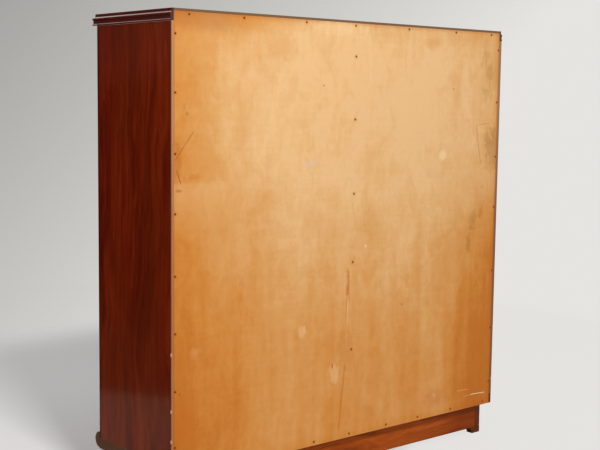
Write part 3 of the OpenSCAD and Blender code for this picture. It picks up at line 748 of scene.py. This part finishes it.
class Palette:
    """Every finish on the cabinet, built once."""

    def __init__(self) -> None:
        """Builds the materials."""
        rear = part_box("left_end")[1].y - 0.5 * MM
        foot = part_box("back_panel")[0].z
        # The rear rail and feet get painted shade just under the ply's foot.
        base = {"dark": srgb(131, 55, 15), "body": srgb(172, 82, 28), "light": srgb(194, 104, 43),
                "olive": srgb(154, 75, 24), "ends": srgb(92, 44, 20), "gloss": 0.5, "shine": 0.08,
                "overhang_shade_above": foot, "dark_past": -0.40}
        feet = {**base, "dark": srgb(90, 50, 32), "body": srgb(104, 62, 42),
                "light": srgb(116, 70, 48)}
        cut = srgb(92, 62, 32)
        inside = (srgb(120, 66, 38), srgb(168, 104, 62))
        self.upright = Mahogany("mahogany_upright", Grain.UPRIGHT).material()
        # The right end gets a painted sheen near its top.
        self.end = Mahogany("mahogany_end", Grain.UPRIGHT, figure=1.4, bare_from=rear,
                            rim_from=0.6076, chips=(0.414, 0.270, 0.193),
                            painted_sheen_above=1.02).material()
        self.far_end = Mahogany("mahogany_far_end", Grain.UPRIGHT, figure=1.4, bare_from=rear,
                                bare=srgb(170, 120, 72), bare_low=srgb(140, 82, 48),
                                rim=srgb(106, 68, 46), rim_from=0.6085,
                                chips=(0.174,)).material()
        self.top = Mahogany("mahogany_top", Grain.ACROSS, ends=srgb(86, 23, 6), gloss=0.0,
                            bare_from=rear, bare=srgb(120, 86, 54), bare_low=srgb(120, 86, 54),
                            rim_from=0.6000).material()
        self.across = Mahogany("mahogany_across", Grain.ACROSS, ends=cut, gloss=0.2).material()
        self.base = Mahogany("mahogany_base", Grain.ACROSS, **base).material()
        self.deep = Mahogany("mahogany_deep", Grain.DEEP, ends=srgb(112, 44, 6)).material()
        # The lippings are darker than the ends: painted shade on their rounded arrises.
        self.lipping = Mahogany("mahogany_lipping_shaded", Grain.UPRIGHT, dark=srgb(58, 17, 6),
                                body=srgb(78, 23, 8), light=srgb(96, 33, 12)).material()
        self.foot = Mahogany("mahogany_foot", Grain.ACROSS, **feet).material()
        self.slat = Mahogany("mahogany_slat", Grain.UPRIGHT, per_piece="slat", gloss=0.3).material()
        self.handled = Mahogany("mahogany_handled", Grain.UPRIGHT, gloss=0.12).material()
        self.ply = AgedPlyWithPaintedLight().material()
        self.inner_ply = PlainWood("inner_ply", Grain.UPRIGHT, srgb(176, 118, 70),
                                   srgb(206, 152, 98)).material()
        self.inner_upright = PlainWood("inside_upright", Grain.UPRIGHT, *inside).material()
        self.inner_across = PlainWood("inside_across", Grain.ACROSS, *inside).material()
        self.softwood = PlainWood("softwood", Grain.UPRIGHT, srgb(182, 136, 88),
                                  srgb(214, 176, 126), 0.65).material()
        self.canvas = Cloth("canvas", srgb(196, 180, 148), srgb(134, 118, 90), 1.1 * MM).material()
        self.felt = Cloth("felt", srgb(46, 84, 58), srgb(26, 52, 36), 0.7 * MM, False).material()
        self.brass = Metal("brass", srgb(206, 168, 100), srgb(128, 92, 48), 0.24, 0.8).material()
        self.steel = Metal("steel", srgb(176, 174, 170), srgb(104, 98, 92), 0.3, 0.7).material()
        self.rust = Rust("rusty_pin").material()


def add_object(name: str, data: ID) -> Object:
    """Adds an object to the scene, at the origin.

    Args:
        name: Its name.
        data: Its mesh, lamp or camera.

    Returns:
        The object.
    """
    made = bpy.data.objects.new(name, data)
    bpy.context.scene.collection.objects.link(made)
    return made


def paint(mesh: Mesh, material: Material, smooth: float | None = None) -> None:
    """Makes a material the only one of a mesh.

    Args:
        mesh: The mesh.
        material: Its finish.
        smooth: If given, the mesh is smooth apart from edges sharper than this many degrees.
    """
    mesh.materials.clear()
    mesh.materials.append(material)
    if smooth is not None:
        mesh.shade_smooth()
        mesh.set_sharp_from_angle(angle=math.radians(smooth))


def merged(node: str) -> BMesh:
    """Closes a piece of the frame, whose own mesh is loose triangles.

    Args:
        node: The piece.

    Returns:
        The closed copy.
    """
    solid = bmesh.new()
    solid.from_mesh(frame["nodes"][node].data)
    bmesh.ops.remove_doubles(solid, verts=solid.verts, dist=WELD)
    return solid


def loose_parts(node: str) -> list[np.ndarray]:
    """Takes a node apart into its separate solids.

    Args:
        node: The node.

    Returns:
        The points of each solid, in a fixed order.
    """
    solid = merged(node)
    solid.verts.ensure_lookup_table()
    unseen = set(range(len(solid.verts)))
    parts = []
    while unseen:
        front = [min(unseen)]
        unseen.remove(front[0])
        group = []
        while front:
            vertex = solid.verts[front.pop()]
            group.append(tuple(vertex.co))
            for edge in vertex.link_edges:
                other = edge.other_vert(vertex).index
                if other in unseen:
                    unseen.remove(other)
                    front.append(other)
        parts.append(np.array(group))
    solid.free()
    return sorted(parts, key=lambda points: tuple(np.round(points.min(0), 4)))


def stand_in(piece: Object, node: str, body: str = "") -> None:
    """Lets a piece of the scene stand for a piece of the frame.

    Args:
        piece: The piece of the scene.
        node: The piece of the frame.
        body: The body that it rides on, if that isn't the one of the node.
    """
    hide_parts(node)
    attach(piece, body or frame["nodes"][node]["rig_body"])
    LOG.info("%s stands for %s, %d faces", piece.name, node, len(piece.data.polygons))


def to_object(solid: BMesh, name: str, material: Material, smooth: float) -> Object:
    """Makes an object of a mesh in hand, and frees the mesh.

    Args:
        solid: The mesh.
        name: The new piece's name.
        material: Its finish.
        smooth: Edges sharper than this many degrees stay sharp.

    Returns:
        The new piece, at the origin.
    """
    mesh = bpy.data.meshes.new(name)
    solid.to_mesh(mesh)
    solid.free()
    paint(mesh, material, smooth)
    return add_object(name, mesh)


def dress(node: str, material: Material) -> None:
    """Gives a piece of the frame its finish."""
    paint(frame["nodes"][node].data, material)
    LOG.info("%s keeps its own solid and gets the finish %s", node, material.name)


def ease(node: str, material: Material, width: float) -> None:
    """Makes a copy of a board whose long arrises are rounded, and lets it stand for the board.

    Args:
        node: The board.
        material: Its finish.
        width: How far back each arris is rounded.
    """
    solid = merged(node)
    flat = math.radians(0.2)
    shortest = 20 * MM
    narrowest = 12 * MM
    bluntest = math.radians(60)
    bmesh.ops.dissolve_limit(solid, angle_limit=flat, verts=solid.verts, edges=solid.edges)
    sharp = []
    for edge in solid.edges:
        length = edge.calc_length()
        if len(edge.link_faces) != 2 or not edge.is_convex or length < shortest:
            continue
        narrow = min(face.calc_area() for face in edge.link_faces) / length
        if narrow > narrowest and edge.calc_face_angle() > bluntest:
            sharp.append(edge)
    bmesh.ops.bevel(solid, geom=sharp, offset=width, offset_type="OFFSET", segments=3, profile=0.5,
                    affect="EDGES", clamp_overlap=False)
    stand_in(to_object(solid, f"eased_{node}", material, smooth=25.0), node)


@dataclass(frozen=True)
class Fastener:
    """The place and sizes of a pin, screw or peg, read from its solid."""

    place: Vector
    facing: Vector
    head: float
    rise: float
    shank: float
    length: float

    @classmethod
    def read(cls, points: np.ndarray) -> "Fastener":
        """Finds the axis of a turned solid and the end at which it is widest.

        Args:
            points: The solid's points.

        Returns:
            The fastener, whose place is the middle of its head and which faces outward.
        """
        low, high = points.min(0), points.max(0)
        axis = int(np.argmax(high - low))
        middle = (low + high) / 2
        off_axis = np.delete(points - middle, axis, axis=1)
        reach = np.hypot(off_axis[:, 0], off_axis[:, 1])
        along = points[:, axis]
        at_high = along[np.argmax(reach)] > middle[axis]
        outer = high[axis] if at_high else low[axis]
        depth = np.abs(along - outer)
        lower = depth > 0.6 * depth.max()
        far_end = reach[lower].max()
        slack = 1.05
        neck = depth[(reach < slack * far_end) & (depth > 0.01 * MM)].min()
        place = middle.copy()
        place[axis] = outer
        facing = np.zeros(3)
        facing[axis] = 1.0 if at_high else -1.0
        return cls(Vector(place), Vector(facing), 2 * float(reach.max()), float(neck),
                   2 * float(far_end), float(depth.max()))


def fasteners(node: str) -> list[Fastener]:
    """All the pins, screws or pegs in a node."""
    return [Fastener.read(points) for points in loose_parts(node)]


class GrowthTree(Tree):
    """A geometry tree with named inputs, which ends in real faces with a material."""

    def __init__(self, name: str, sizes: Mapping[str, Any]) -> None:
        """Makes the tree's group and an input for each size.

        Args:
            name: The group's name.
            sizes: The value of each named input: a whole number, a number or a direction.
        """
        self.group = bpy.data.node_groups.new(name, "GeometryNodeTree")
        super().__init__(self.group)
        face = self.group.interface
        kinds = {int: "NodeSocketInt", float: "NodeSocketFloat", tuple: "NodeSocketVector"}
        face.new_socket("Geometry", in_out="INPUT", socket_type="NodeSocketGeometry")
        for key, value in sizes.items():
            face.new_socket(key, in_out="INPUT", socket_type=kinds[type(value)])
        face.new_socket("Material", in_out="INPUT", socket_type="NodeSocketMaterial")
        face.new_socket("Geometry", in_out="OUTPUT", socket_type="NodeSocketGeometry")
        self.sizes = dict(sizes)
        self.given = self.outs(self.node("NodeGroupInput"))

    def __getitem__(self, name: str) -> Term:
        """The named input."""
        return self.given[name]

    def gather(self, *parts: Term) -> Term:
        """Joins geometries.

        Args:
            *parts: The geometries.

        Returns:
            All of them as one.
        """
        joined = self.node("GeometryNodeJoinGeometry")
        for part in parts:
            self.plug(joined.socket.node.inputs[0], part)
        return joined

    def moved(self, geometry: Term, z: Term | float, tip_over: bool = False) -> Term:
        """The geometry moved along Z, after it was turned upside down if asked."""
        turn = (math.pi, 0.0, 0.0) if tip_over else (0.0, 0.0, 0.0)
        return self.node("GeometryNodeTransform", {},
                         {"Geometry": geometry, "Rotation": turn, "Translation": self.vector(0.0, 0.0, z)})

    def cone(self, top: Term | float, bottom: Term | float, depth: Term | float, around: int) -> Term:
        """A solid cone or cylinder that rises from the origin."""
        return self.node("GeometryNodeMeshCone", {"fill_type": "NGON"},
                         {"Vertices": around, "Radius Top": top, "Radius Bottom": bottom,
                          "Depth": depth})

    def close(self, geometry: Term) -> None:
        """Makes the instances real, gives them the material and ends the tree.

        Args:
            geometry: What the tree has made.
        """
        real = self.node("GeometryNodeRealizeInstances", {}, {0: geometry})
        done = self.node("GeometryNodeSetMaterial", {}, {"Geometry": real, "Material": self["Material"]})
        self.end("NodeGroupOutput", done)

    def grow(self, name: str, points: Sequence[Vector], material: Material,
             smooth: float = 30.0) -> Object:
        """Runs the tree on a cloud of points and keeps the result as a plain mesh.

        Args:
            name: The new piece's name.
            points: Where the copies go.
            material: The finish of the copies.
            smooth: Edges sharper than this many degrees stay sharp.

        Returns:
            The new piece, at the origin.
        """
        seed = bpy.data.meshes.new(name + "_points")
        seed.from_pydata([tuple(point) for point in points], [], [])
        holder = add_object(name, seed)
        modifier = holder.modifiers.new("growth", "NODES")
        modifier.node_group = self.group
        for item in self.group.interface.items_tree:
            if item.in_out == "INPUT" and item.name in self.sizes:
                modifier[item.identifier] = self.sizes[item.name]
            elif item.in_out == "INPUT" and item.name == "Material":
                modifier[item.identifier] = material
        view = bpy.context.evaluated_depsgraph_get()
        mesh = bpy.data.meshes.new_from_object(holder.evaluated_get(view), depsgraph=view)
        holder.modifiers.remove(modifier)
        holder.data = mesh
        bpy.data.meshes.remove(seed)
        paint(mesh, material, smooth)
        return holder


class Turned(Enum):
    """What a turned fastener is."""

    PIN = "pin"
    SCREW = "screw"
    PEG = "peg"


SHANK_SIDES = 12
HEAD_SIDES = 24
PEG_SIDES = 20
SLOT_SHARE = 0.14
FASTENER_SEED = 3
SLAT_SEED = 5


def grow_fasteners(node: str, kind: Turned, material: Material,
                   lean: float = 0.0, head: float = 1.0) -> None:
    """Grows the pins, screws or pegs of a node and lets them stand for it.

    Args:
        node: The node that has the plain ones.
        kind: What they are.
        material: Their finish.
        lean: How far, in radians, one may be turned off its line.
        head: The share of the plain head's width that the grown ones have.
    """
    places = fasteners(node)
    model = places[0]
    aim = model.facing.to_track_quat("Z", "Y").to_euler()
    sizes = {"Head": model.head / 2 * head, "Rise": model.rise, "Shank": model.shank / 2,
             "Length": model.length, "Aim": tuple(aim), "Lean": lean, "Slot": model.head * SLOT_SHARE}
    tree = GrowthTree(f"{kind.value}_growth", sizes)
    if kind is Turned.PEG:
        body = _peg(tree)
    else:
        body = _headed(tree, kind)
    drawn = tree.node("FunctionNodeRandomValue", {"data_type": "FLOAT_VECTOR"},
                      {"Min": (-1.0, -1.0, -math.pi), "Max": (1.0, 1.0, math.pi), "Seed": FASTENER_SEED})
    x, y, z = tree.split(drawn)
    spin = tree.vector(x * tree["Lean"], y * tree["Lean"], z)
    body = tree.moved(body, tree["Head"] * tree["Lean"] * -1.5)
    placed = tree.node("GeometryNodeInstanceOnPoints", {},
                       {"Points": tree["Geometry"], "Instance": body, "Rotation": tree["Aim"]})
    turned = tree.node("GeometryNodeRotateInstances", {},
                       {"Instances": placed, "Rotation": spin, "Local Space": True})
    tree.close(turned)
    stand_in(tree.grow(f"grown_{node}", [place.place for place in places], material), node)


def _headed(tree: GrowthTree, kind: Turned) -> Term:
    """Makes a shank with a head, whose top is at the origin.

    Args:
        tree: The fastener's tree.
        kind: A screw, whose head is slotted, or a pin.

    Returns:
        The fastener, which points down.
    """
    head, rise, shank, length = (tree[key] for key in ("Head", "Rise", "Shank", "Length"))
    point = shank * 1.6
    rod = tree.moved(tree.cone(shank, shank, length - rise * 0.9 - point, SHANK_SIDES), point - length)
    tip = tree.moved(tree.cone(shank, shank * 0.15, point, SHANK_SIDES), 0.0 - length)
    edge = rise * 0.3
    rim = tree.moved(tree.cone(head, shank, rise - edge, HEAD_SIDES), 0.0 - rise)
    crown = tree.moved(tree.cone(head * 0.72, head, edge, HEAD_SIDES), 0.0 - edge)
    if kind is Turned.PIN:
        return tree.gather(rod, tip, rim, crown)
    saw = tree.node("GeometryNodeMeshCube", {}, {"Size": tree.vector(head * 3, tree["Slot"], rise)})
    cut = tree.node("GeometryNodeMeshBoolean", {"operation": "DIFFERENCE", "solver": "EXACT"},
                    {"Mesh 1": tree.gather(rim, crown), "Mesh 2": saw, "Self Intersection": True})
    return tree.gather(rod, tip, cut)


def _peg(tree: GrowthTree) -> Term:
    """Makes a straight peg with a small chamfer at both ends.

    Args:
        tree: The peg's tree.

    Returns:
        The peg, whose top is at the origin.
    """
    shank, length = tree["Shank"], tree["Length"]
    edge = shank * 0.2
    low = tree.moved(tree.cone(shank, shank * 0.8, edge, PEG_SIDES), 0.0 - length)
    middle = tree.moved(tree.cone(shank, shank, length - edge * 2, PEG_SIDES), edge - length)
    high = tree.moved(tree.cone(shank * 0.8, shank, edge, PEG_SIDES), 0.0 - edge)
    return tree.gather(low, middle, high)


TONGUE = (10 * MM, 8 * MM, 7.6 * MM)
BEND = 35.5 * MM


@dataclass(frozen=True)
class ShutterPath:
    """The line of a curtain: straight, round a bend and along the end, and its slats' sizes."""

    count: int
    pitch: float
    start: float
    straight: float
    bend: float
    back: float
    low: float
    high: float
    width: float
    thick: float
    edge: float = 5 * MM
    tongue: tuple[float, float, float] = TONGUE

    @classmethod
    def from_frame(cls) -> "ShutterPath":
        """Works the path out from the solids of the right-hand curtain.

        Returns:
            The path, which serves both curtains.
        """
        slats = sorted(loose_parts("right_slats"), key=lambda points: points[:, 0].min())
        first, second = slats[0], slats[1]
        width = float(np.ptp(first[:, 0]))
        pitch = float(second[:, 0].min() - first[:, 0].min())
        thick = float(np.ptp(first[:, 1]))
        start = float(first[:, 0].min()) - (pitch - width) / 2
        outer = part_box("right_slats")[1].x
        low, high = float(first[:, 2].min()), float(first[:, 2].max())
        return cls(count=len(slats), pitch=pitch, start=start, straight=outer - thick - BEND - start,
                   bend=BEND, back=float(first[:, 1].max()), low=low + TONGUE[2],
                   high=high - TONGUE[2], width=width, thick=thick)

    def grow(self, name: str, side: int, material: Material) -> Object:
        """Grows one curtain of slats along the path.

        Args:
            name: The new piece's name.
            side: 1 for the right-hand curtain, -1 for the left-hand one.
            material: The finish of the slats.

        Returns:
            The slats, as one piece.
        """
        sizes = {key.title(): value for key, value in asdict(self).items()}
        tree = GrowthTree("slat_growth", sizes | {"Side": float(side)})
        order = tree.node("GeometryNodeInputIndex")
        run = (order + 0.5) * tree["Pitch"]
        arc = tree["Bend"] * (math.pi / 2)
        over = (run - tree["Straight"]).high(0.0)
        turn = over.low(arc) / tree["Bend"]
        x = (run.low(tree["Straight"]) + tree["Start"] + tree["Bend"] * turn.sin()) * tree["Side"]
        y = tree["Back"] + tree["Bend"] * (1 - turn.cos()) + (over - arc).high(0.0)
        points = tree.node("GeometryNodePoints", {},
                           {"Count": tree["Count"], "Position": tree.vector(x, y, 0.0)})
        placed = tree.node("GeometryNodeInstanceOnPoints", {},
                           {"Points": points, "Instance": self._slat(tree),
                            "Rotation": tree.vector(0.0, 0.0, turn * tree["Side"])})
        shade = tree.node("FunctionNodeRandomValue", {"data_type": "FLOAT"},
                          {"ID": order, "Seed": SLAT_SEED + side}, out=1)
        marked = tree.node("GeometryNodeStoreNamedAttribute",
                           {"data_type": "FLOAT", "domain": "INSTANCE"},
                           {"Geometry": placed, "Name": "slat", "Value": shade})
        tree.close(marked)
        return tree.grow(name, [Vector()], material)

    def _slat(self, tree: GrowthTree) -> Term:
        """Makes a slat with a flat back, upright edges, a crowned front and a tongue at both ends.

        Args:
            tree: The curtain's tree.

        Returns:
            The slat, with its back at the origin.
        """
        around = 28
        past_sides = 1.35
        past_faces = 1.34
        angle = tree.node("GeometryNodeInputIndex") * (2 * math.pi / around)
        wide = (angle.cos() * past_sides).low(1.0).high(-1.0)
        crown = tree["Edge"] + (tree["Thick"] - tree["Edge"]) * (1 - wide * wide)
        depth = (0.5 - angle.sin() / past_faces).low(1.0).high(0.0)
        outline = tree.node("GeometryNodeCurvePrimitiveCircle", {"mode": "RADIUS"},
                            {"Resolution": around})
        shaped = tree.vector(wide * tree["Width"] * 0.5, 0.0 - crown * depth, 0.0)
        outline = tree.node("GeometryNodeSetPosition", {}, {"Geometry": outline, "Position": shaped})
        flat = tree.node("GeometryNodeFillCurve", {"mode": "NGONS"}, {0: outline})
        tall = tree["High"] - tree["Low"]
        solid = tree.node("GeometryNodeExtrudeMesh", {"mode": "FACES"},
                          {"Mesh": flat, "Offset": (0.0, 0.0, 1.0), "Offset Scale": tall,
                           "Individual": False})
        foot = tree.node("GeometryNodeFlipFaces", {}, {0: flat})
        closed = tree.node("GeometryNodeMergeByDistance", {},
                           {"Geometry": tree.gather(solid, foot), "Distance": WELD})
        slat = tree.moved(closed, tree["Low"])
        wide, deep, long = tree.split(tree["Tongue"])
        block = tree.node("GeometryNodeMeshCube", {},
                          {"Size": tree.vector(wide, deep, tall + long * 2)})
        block = tree.node("GeometryNodeTransform", {},
                          {"Geometry": block, "Translation":
                           tree.vector(0.0, tree["Thick"] * -0.5, (tree["Low"] + tree["High"]) * 0.5)})
        return tree.gather(slat, block)


@dataclass
class Carcass:
    """The case: top, bottom, ends with their lippings, sill, jambs and divider."""

    palette: Palette
    arris: float = 1.6 * MM
    fine_arris: float = 0.9 * MM

    def build(self) -> None:
        """Rounds the arrises of the boards and gives each one its finish."""
        wood = self.palette
        ease("top_board", wood.top, self.arris)
        ease("bottom_board", wood.across, self.fine_arris)
        ease("centre_divider", wood.inner_upright, self.fine_arris)
        dress("sill_moulding", wood.across)
        dress("carcass_dowels", wood.softwood)
        for side in SIDES:
            finish = wood.end if side == "right" else wood.far_end
            ease(f"{side}_end", finish, self.fine_arris)
            ease(f"{side}_jamb", wood.upright, self.fine_arris)
            dress(f"{side}_end_lipping", wood.lipping)


@dataclass
class Back:
    """The ply back and the pins that hold it."""

    palette: Palette
    lean: float = 0.06
    head: float = 0.85

    def build(self) -> None:
        """Gives the ply its finish and drives the pins a little askew."""
        dress("back_panel", self.palette.ply)
        grow_fasteners("back_pins", Turned.PIN, self.palette.rust, self.lean, self.head)


@dataclass
class Interior:
    """What the doors open on: inner sides, false backs, shelves and pegs."""

    palette: Palette
    arris: float = 1.0 * MM

    def build(self) -> None:
        """Rounds the arrises, gives each board its finish and sets the pegs."""
        wood = self.palette
        for side in SIDES:
            ease(f"{side}_inner_side", wood.inner_upright, self.arris)
            dress(f"{side}_false_back", wood.inner_ply)
            for number in (1, 2, 3):
                ease(f"{side}_shelf_{number}", wood.inner_across, self.arris)
        grow_fasteners("shelf_pegs", Turned.PEG, wood.brass)


@dataclass
class Plinth:
    """The recessed base: rails, bracket feet, corner blocks and screws."""

    palette: Palette
    arris: float = 1.2 * MM

    def build(self) -> None:
        """Rounds the arrises of the rails and gives each piece its finish."""
        wood = self.palette
        ease("plinth_front_rail", wood.across, self.arris)
        ease("plinth_rear_rail", wood.base, self.arris)
        for side in SIDES:
            ease(f"plinth_{side}_rail", wood.deep, self.arris)
            dress(f"front_{side}_foot", wood.across)
            dress(f"rear_{side}_foot", wood.foot)
        ease("plinth_cross_rail", wood.softwood, self.arris)
        dress("plinth_corner_blocks", wood.softwood)
        grow_fasteners("plinth_screws", Turned.SCREW, wood.steel)


@dataclass
class Doors:
    """The two curtains with their stiles, handles and buffers."""

    palette: Palette
    path: ShutterPath = field(default_factory=ShutterPath.from_frame)

    def build(self) -> None:
        """Grows the slats and gives each piece its finish."""
        for side in SIDES:
            dress(f"{side}_stile", self.palette.upright)
            dress(f"{side}_pull", self.palette.handled)
            grow_fasteners(f"{side}_pull_screws", Turned.SCREW, self.palette.steel)
            self._curtain(side)
        dress("felt_buffers", self.palette.felt)

    def _curtain(self, side: str) -> None:
        """Makes the slats and the canvas of one curtain, which draw up towards the end.

        Args:
            side: Which curtain, left or right.
        """
        sign = 1 if side == "right" else -1
        slats = self.path.grow(f"{side}_curtain_slats", sign, self.palette.slat)
        stand_in(slats, f"{side}_slats", "carcass")
        cloth = to_object(merged(f"{side}_canvas"), f"{side}_curtain_canvas", self.palette.canvas,
                          smooth=25.0)
        stand_in(cloth, f"{side}_canvas", "carcass")
        for piece in (slats, cloth):
            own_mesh(piece)


@dataclass
class Lock:
    """The lock in the right-hand stile, its key, and the strike in the left-hand one."""

    palette: Palette

    def build(self) -> None:
        """Gives each piece its finish and slots the screws."""
        for node in ("lock_case", "escutcheon", "escutcheon_pins", "hook_bolt", "strike_plate"):
            dress(node, self.palette.brass)
        dress("key", self.palette.steel)
        for node in ("lock_plate_screws", "strike_screws"):
            grow_fasteners(node, Turned.SCREW, self.palette.brass)


@dataclass(frozen=True)
class Viewpoint:
    """Where the photograph was taken from, fitted to the cabinet's straight edges."""

    place: tuple[float, float, float] = (2.1788, 2.5057, 1.0467)
    heading: float = math.radians(139.516)
    pitch: float = math.radians(-6.257)
    roll: float = math.radians(0.718)
    lens: float = 69.04
    sensor: float = 36.0

    def build(self) -> None:
        """Makes the camera and gives it to the scene."""
        level = math.cos(self.pitch)
        ahead = Vector((-math.sin(self.heading) * level, math.cos(self.heading) * level,
                        math.sin(self.pitch)))
        right = Vector((math.cos(self.heading), math.sin(self.heading), 0))
        up = right.cross(ahead)
        rolled_right = math.cos(self.roll) * right + math.sin(self.roll) * up
        rolled_up = math.cos(self.roll) * up - math.sin(self.roll) * right
        camera = add_object("camera", bpy.data.cameras.new("camera"))
        camera.data.lens = self.lens
        camera.data.sensor_width = self.sensor
        turn = Matrix((rolled_right, rolled_up, -ahead)).transposed().to_4x4()
        camera.matrix_world = Matrix.Translation(self.place) @ turn
        bpy.context.scene.camera = camera


@dataclass
class Studio:
    """The pale floor, the grey surround and the lamps.

    paper is the floor's own grey, lift what the camera sees on top of it and radius its reach.
    window is the brightness of the window that only polish sees, and the surround's grey on the
    screen runs from dimmest to brightest.
    """

    view: Viewpoint
    daylight: float = 0.45
    paper: float = 0.79
    lift: float = 0.17
    radius: float = 7.0
    window: float = 3.8
    dimmest: float = 0.62
    brightest: float = 0.897

    def aside(self, x: Term, y: Term) -> Term:
        """How far a point or direction lies to the right-hand side of the photograph."""
        return x * math.cos(self.view.heading) + y * math.sin(self.view.heading)

    def floor(self) -> None:
        """Lays a round sheet of paper that melts into the surround.

        Polish sees the dark studio past the edge of the paper, on the far side of the right end.
        """
        disc = bmesh.new()
        bmesh.ops.create_circle(disc, cap_ends=True, segments=96, radius=self.radius)
        tree = ShaderTree("floor_paper")
        x, y, z = tree.split(tree.place())
        path = tree.outs(tree.node("ShaderNodeLightPath"))
        seen = path["Is Camera Ray"]
        polish = path["Is Glossy Ray"]
        grey = tree.noise(tree.place(), scale=1.5, detail=2.0) * 0.02 + self.paper
        # Painted shade: what the camera sees of the paper is dimmed further out in front, where the
        # cabinet's shadow falls.
        grey = grey + seen * (self.lift - y.fade(-0.9, -1.7) * 0.08)
        past_edge = (x * 0.83 - y * 0.55).fade(1.46, 1.50)
        grey = grey * (1 - (past_edge * 0.4 + 0.58) * polish)
        colour = tree.node("ShaderNodeCombineColor", {},
                           {0: grey, 1: grey * (0.985 - polish * 0.1), 2: grey * (0.965 - polish * 0.3)})
        paper = tree.node("ShaderNodeBsdfPrincipled", {},
                          {"Base Color": colour, "Roughness": 0.8, "Specular IOR Level": 0.1})
        across = x - 0.1
        along = y + 0.8
        away = (across * across + along * along) ** 0.5
        bright_side = self.aside(x, y).fade(0.02, 0.34).high(y.fade(-1.80, -2.25)) * seen * 0.93
        share = away.fade(1.5, 2.7).high(bright_side)
        clear = tree.node("ShaderNodeBsdfTransparent")
        tree.end("ShaderNodeOutputMaterial",
                 tree.node("ShaderNodeMixShader", {}, {0: share, 1: paper, 2: clear}))
        to_object(disc, "floor", tree.material, smooth=30.0)

    def surround(self) -> None:
        """Sets the world: a soft even light, and the grey that is seen behind and in polish."""
        world = bpy.data.worlds.new("studio")
        bpy.context.scene.world = world
        world.use_nodes = True
        world.node_tree.nodes.clear()
        tree = Tree(world.node_tree)
        x, y, z = tree.split(tree.node("ShaderNodeTexCoord", out="Generated"))
        aside = self.aside(x, y)
        path = tree.outs(tree.node("ShaderNodeLightPath"))
        glossy = path["Is Glossy Ray"]
        seen = (aside * 0.55 - z * 0.51 + 0.823).high(self.dimmest).low(self.brightest) ** GAMMA
        window = y.fade(-0.71, -0.76) * x.fade(0.18, 0.28) * z.fade(0.27, 0.33) * glossy
        shade = seen * (1 - aside.fade(-0.3, -0.8) * glossy * 0.97) + window * self.window
        direct = path["Is Camera Ray"].high(path["Is Transmission Ray"]).high(glossy)
        grey = tree.node("ShaderNodeCombineColor", {}, {0: shade, 1: shade * 0.985, 2: shade * 0.95})
        light = tree.node("ShaderNodeBackground", {}, {0: (0.98, 0.98, 1.0, 1), 1: self.daylight})
        shown = tree.node("ShaderNodeBackground", {}, {0: grey, 1: 1.0})
        both = tree.node("ShaderNodeMixShader", {}, {0: direct, 1: light, 2: shown})
        tree.end("ShaderNodeOutputWorld", both)

    def lamp(self, name: str, place: Sequence[float], aim: Sequence[float],
             size: tuple[float, float], watts: float) -> None:
        """Hangs one soft lamp.

        Args:
            name: Its name.
            place: Where it hangs.
            aim: The point that it faces.
            size: Its width and height.
            watts: Its power.
        """
        data = bpy.data.lights.new(name, "AREA")
        data.shape = "RECTANGLE"
        data.size, data.size_y = size
        data.energy = watts
        lamp = add_object(name, data)
        lamp.location = place
        lamp.rotation_euler = (Vector(aim) - Vector(place)).to_track_quat("-Z", "Y").to_euler()

    def build(self) -> None:
        """Sets up floor, surround and lamps."""
        self.floor()
        self.surround()
        self.lamp("key", place=(1.14, 2.62, 3.2), aim=(0.0, 0.0, 0.7), size=(0.8, 0.55), watts=86.0)
        self.lamp("front_softbox", place=(0.7, -3.4, 3.2), aim=(0.0, -0.1, 0.7), size=(1.6, 1.0),
                  watts=15.0)
        bpy.context.scene.view_settings.view_transform = "Standard"


def main() -> None:
    """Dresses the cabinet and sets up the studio."""
    logging.basicConfig(level=logging.INFO)
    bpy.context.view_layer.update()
    palette = Palette()
    for part in (Carcass, Back, Interior, Plinth, Doors, Lock):
        part(palette).build()
        LOG.info("%s built", part.__name__)
    view = Viewpoint()
    view.build()
    Studio(view).build()


if __name__ == "__main__":
    main()
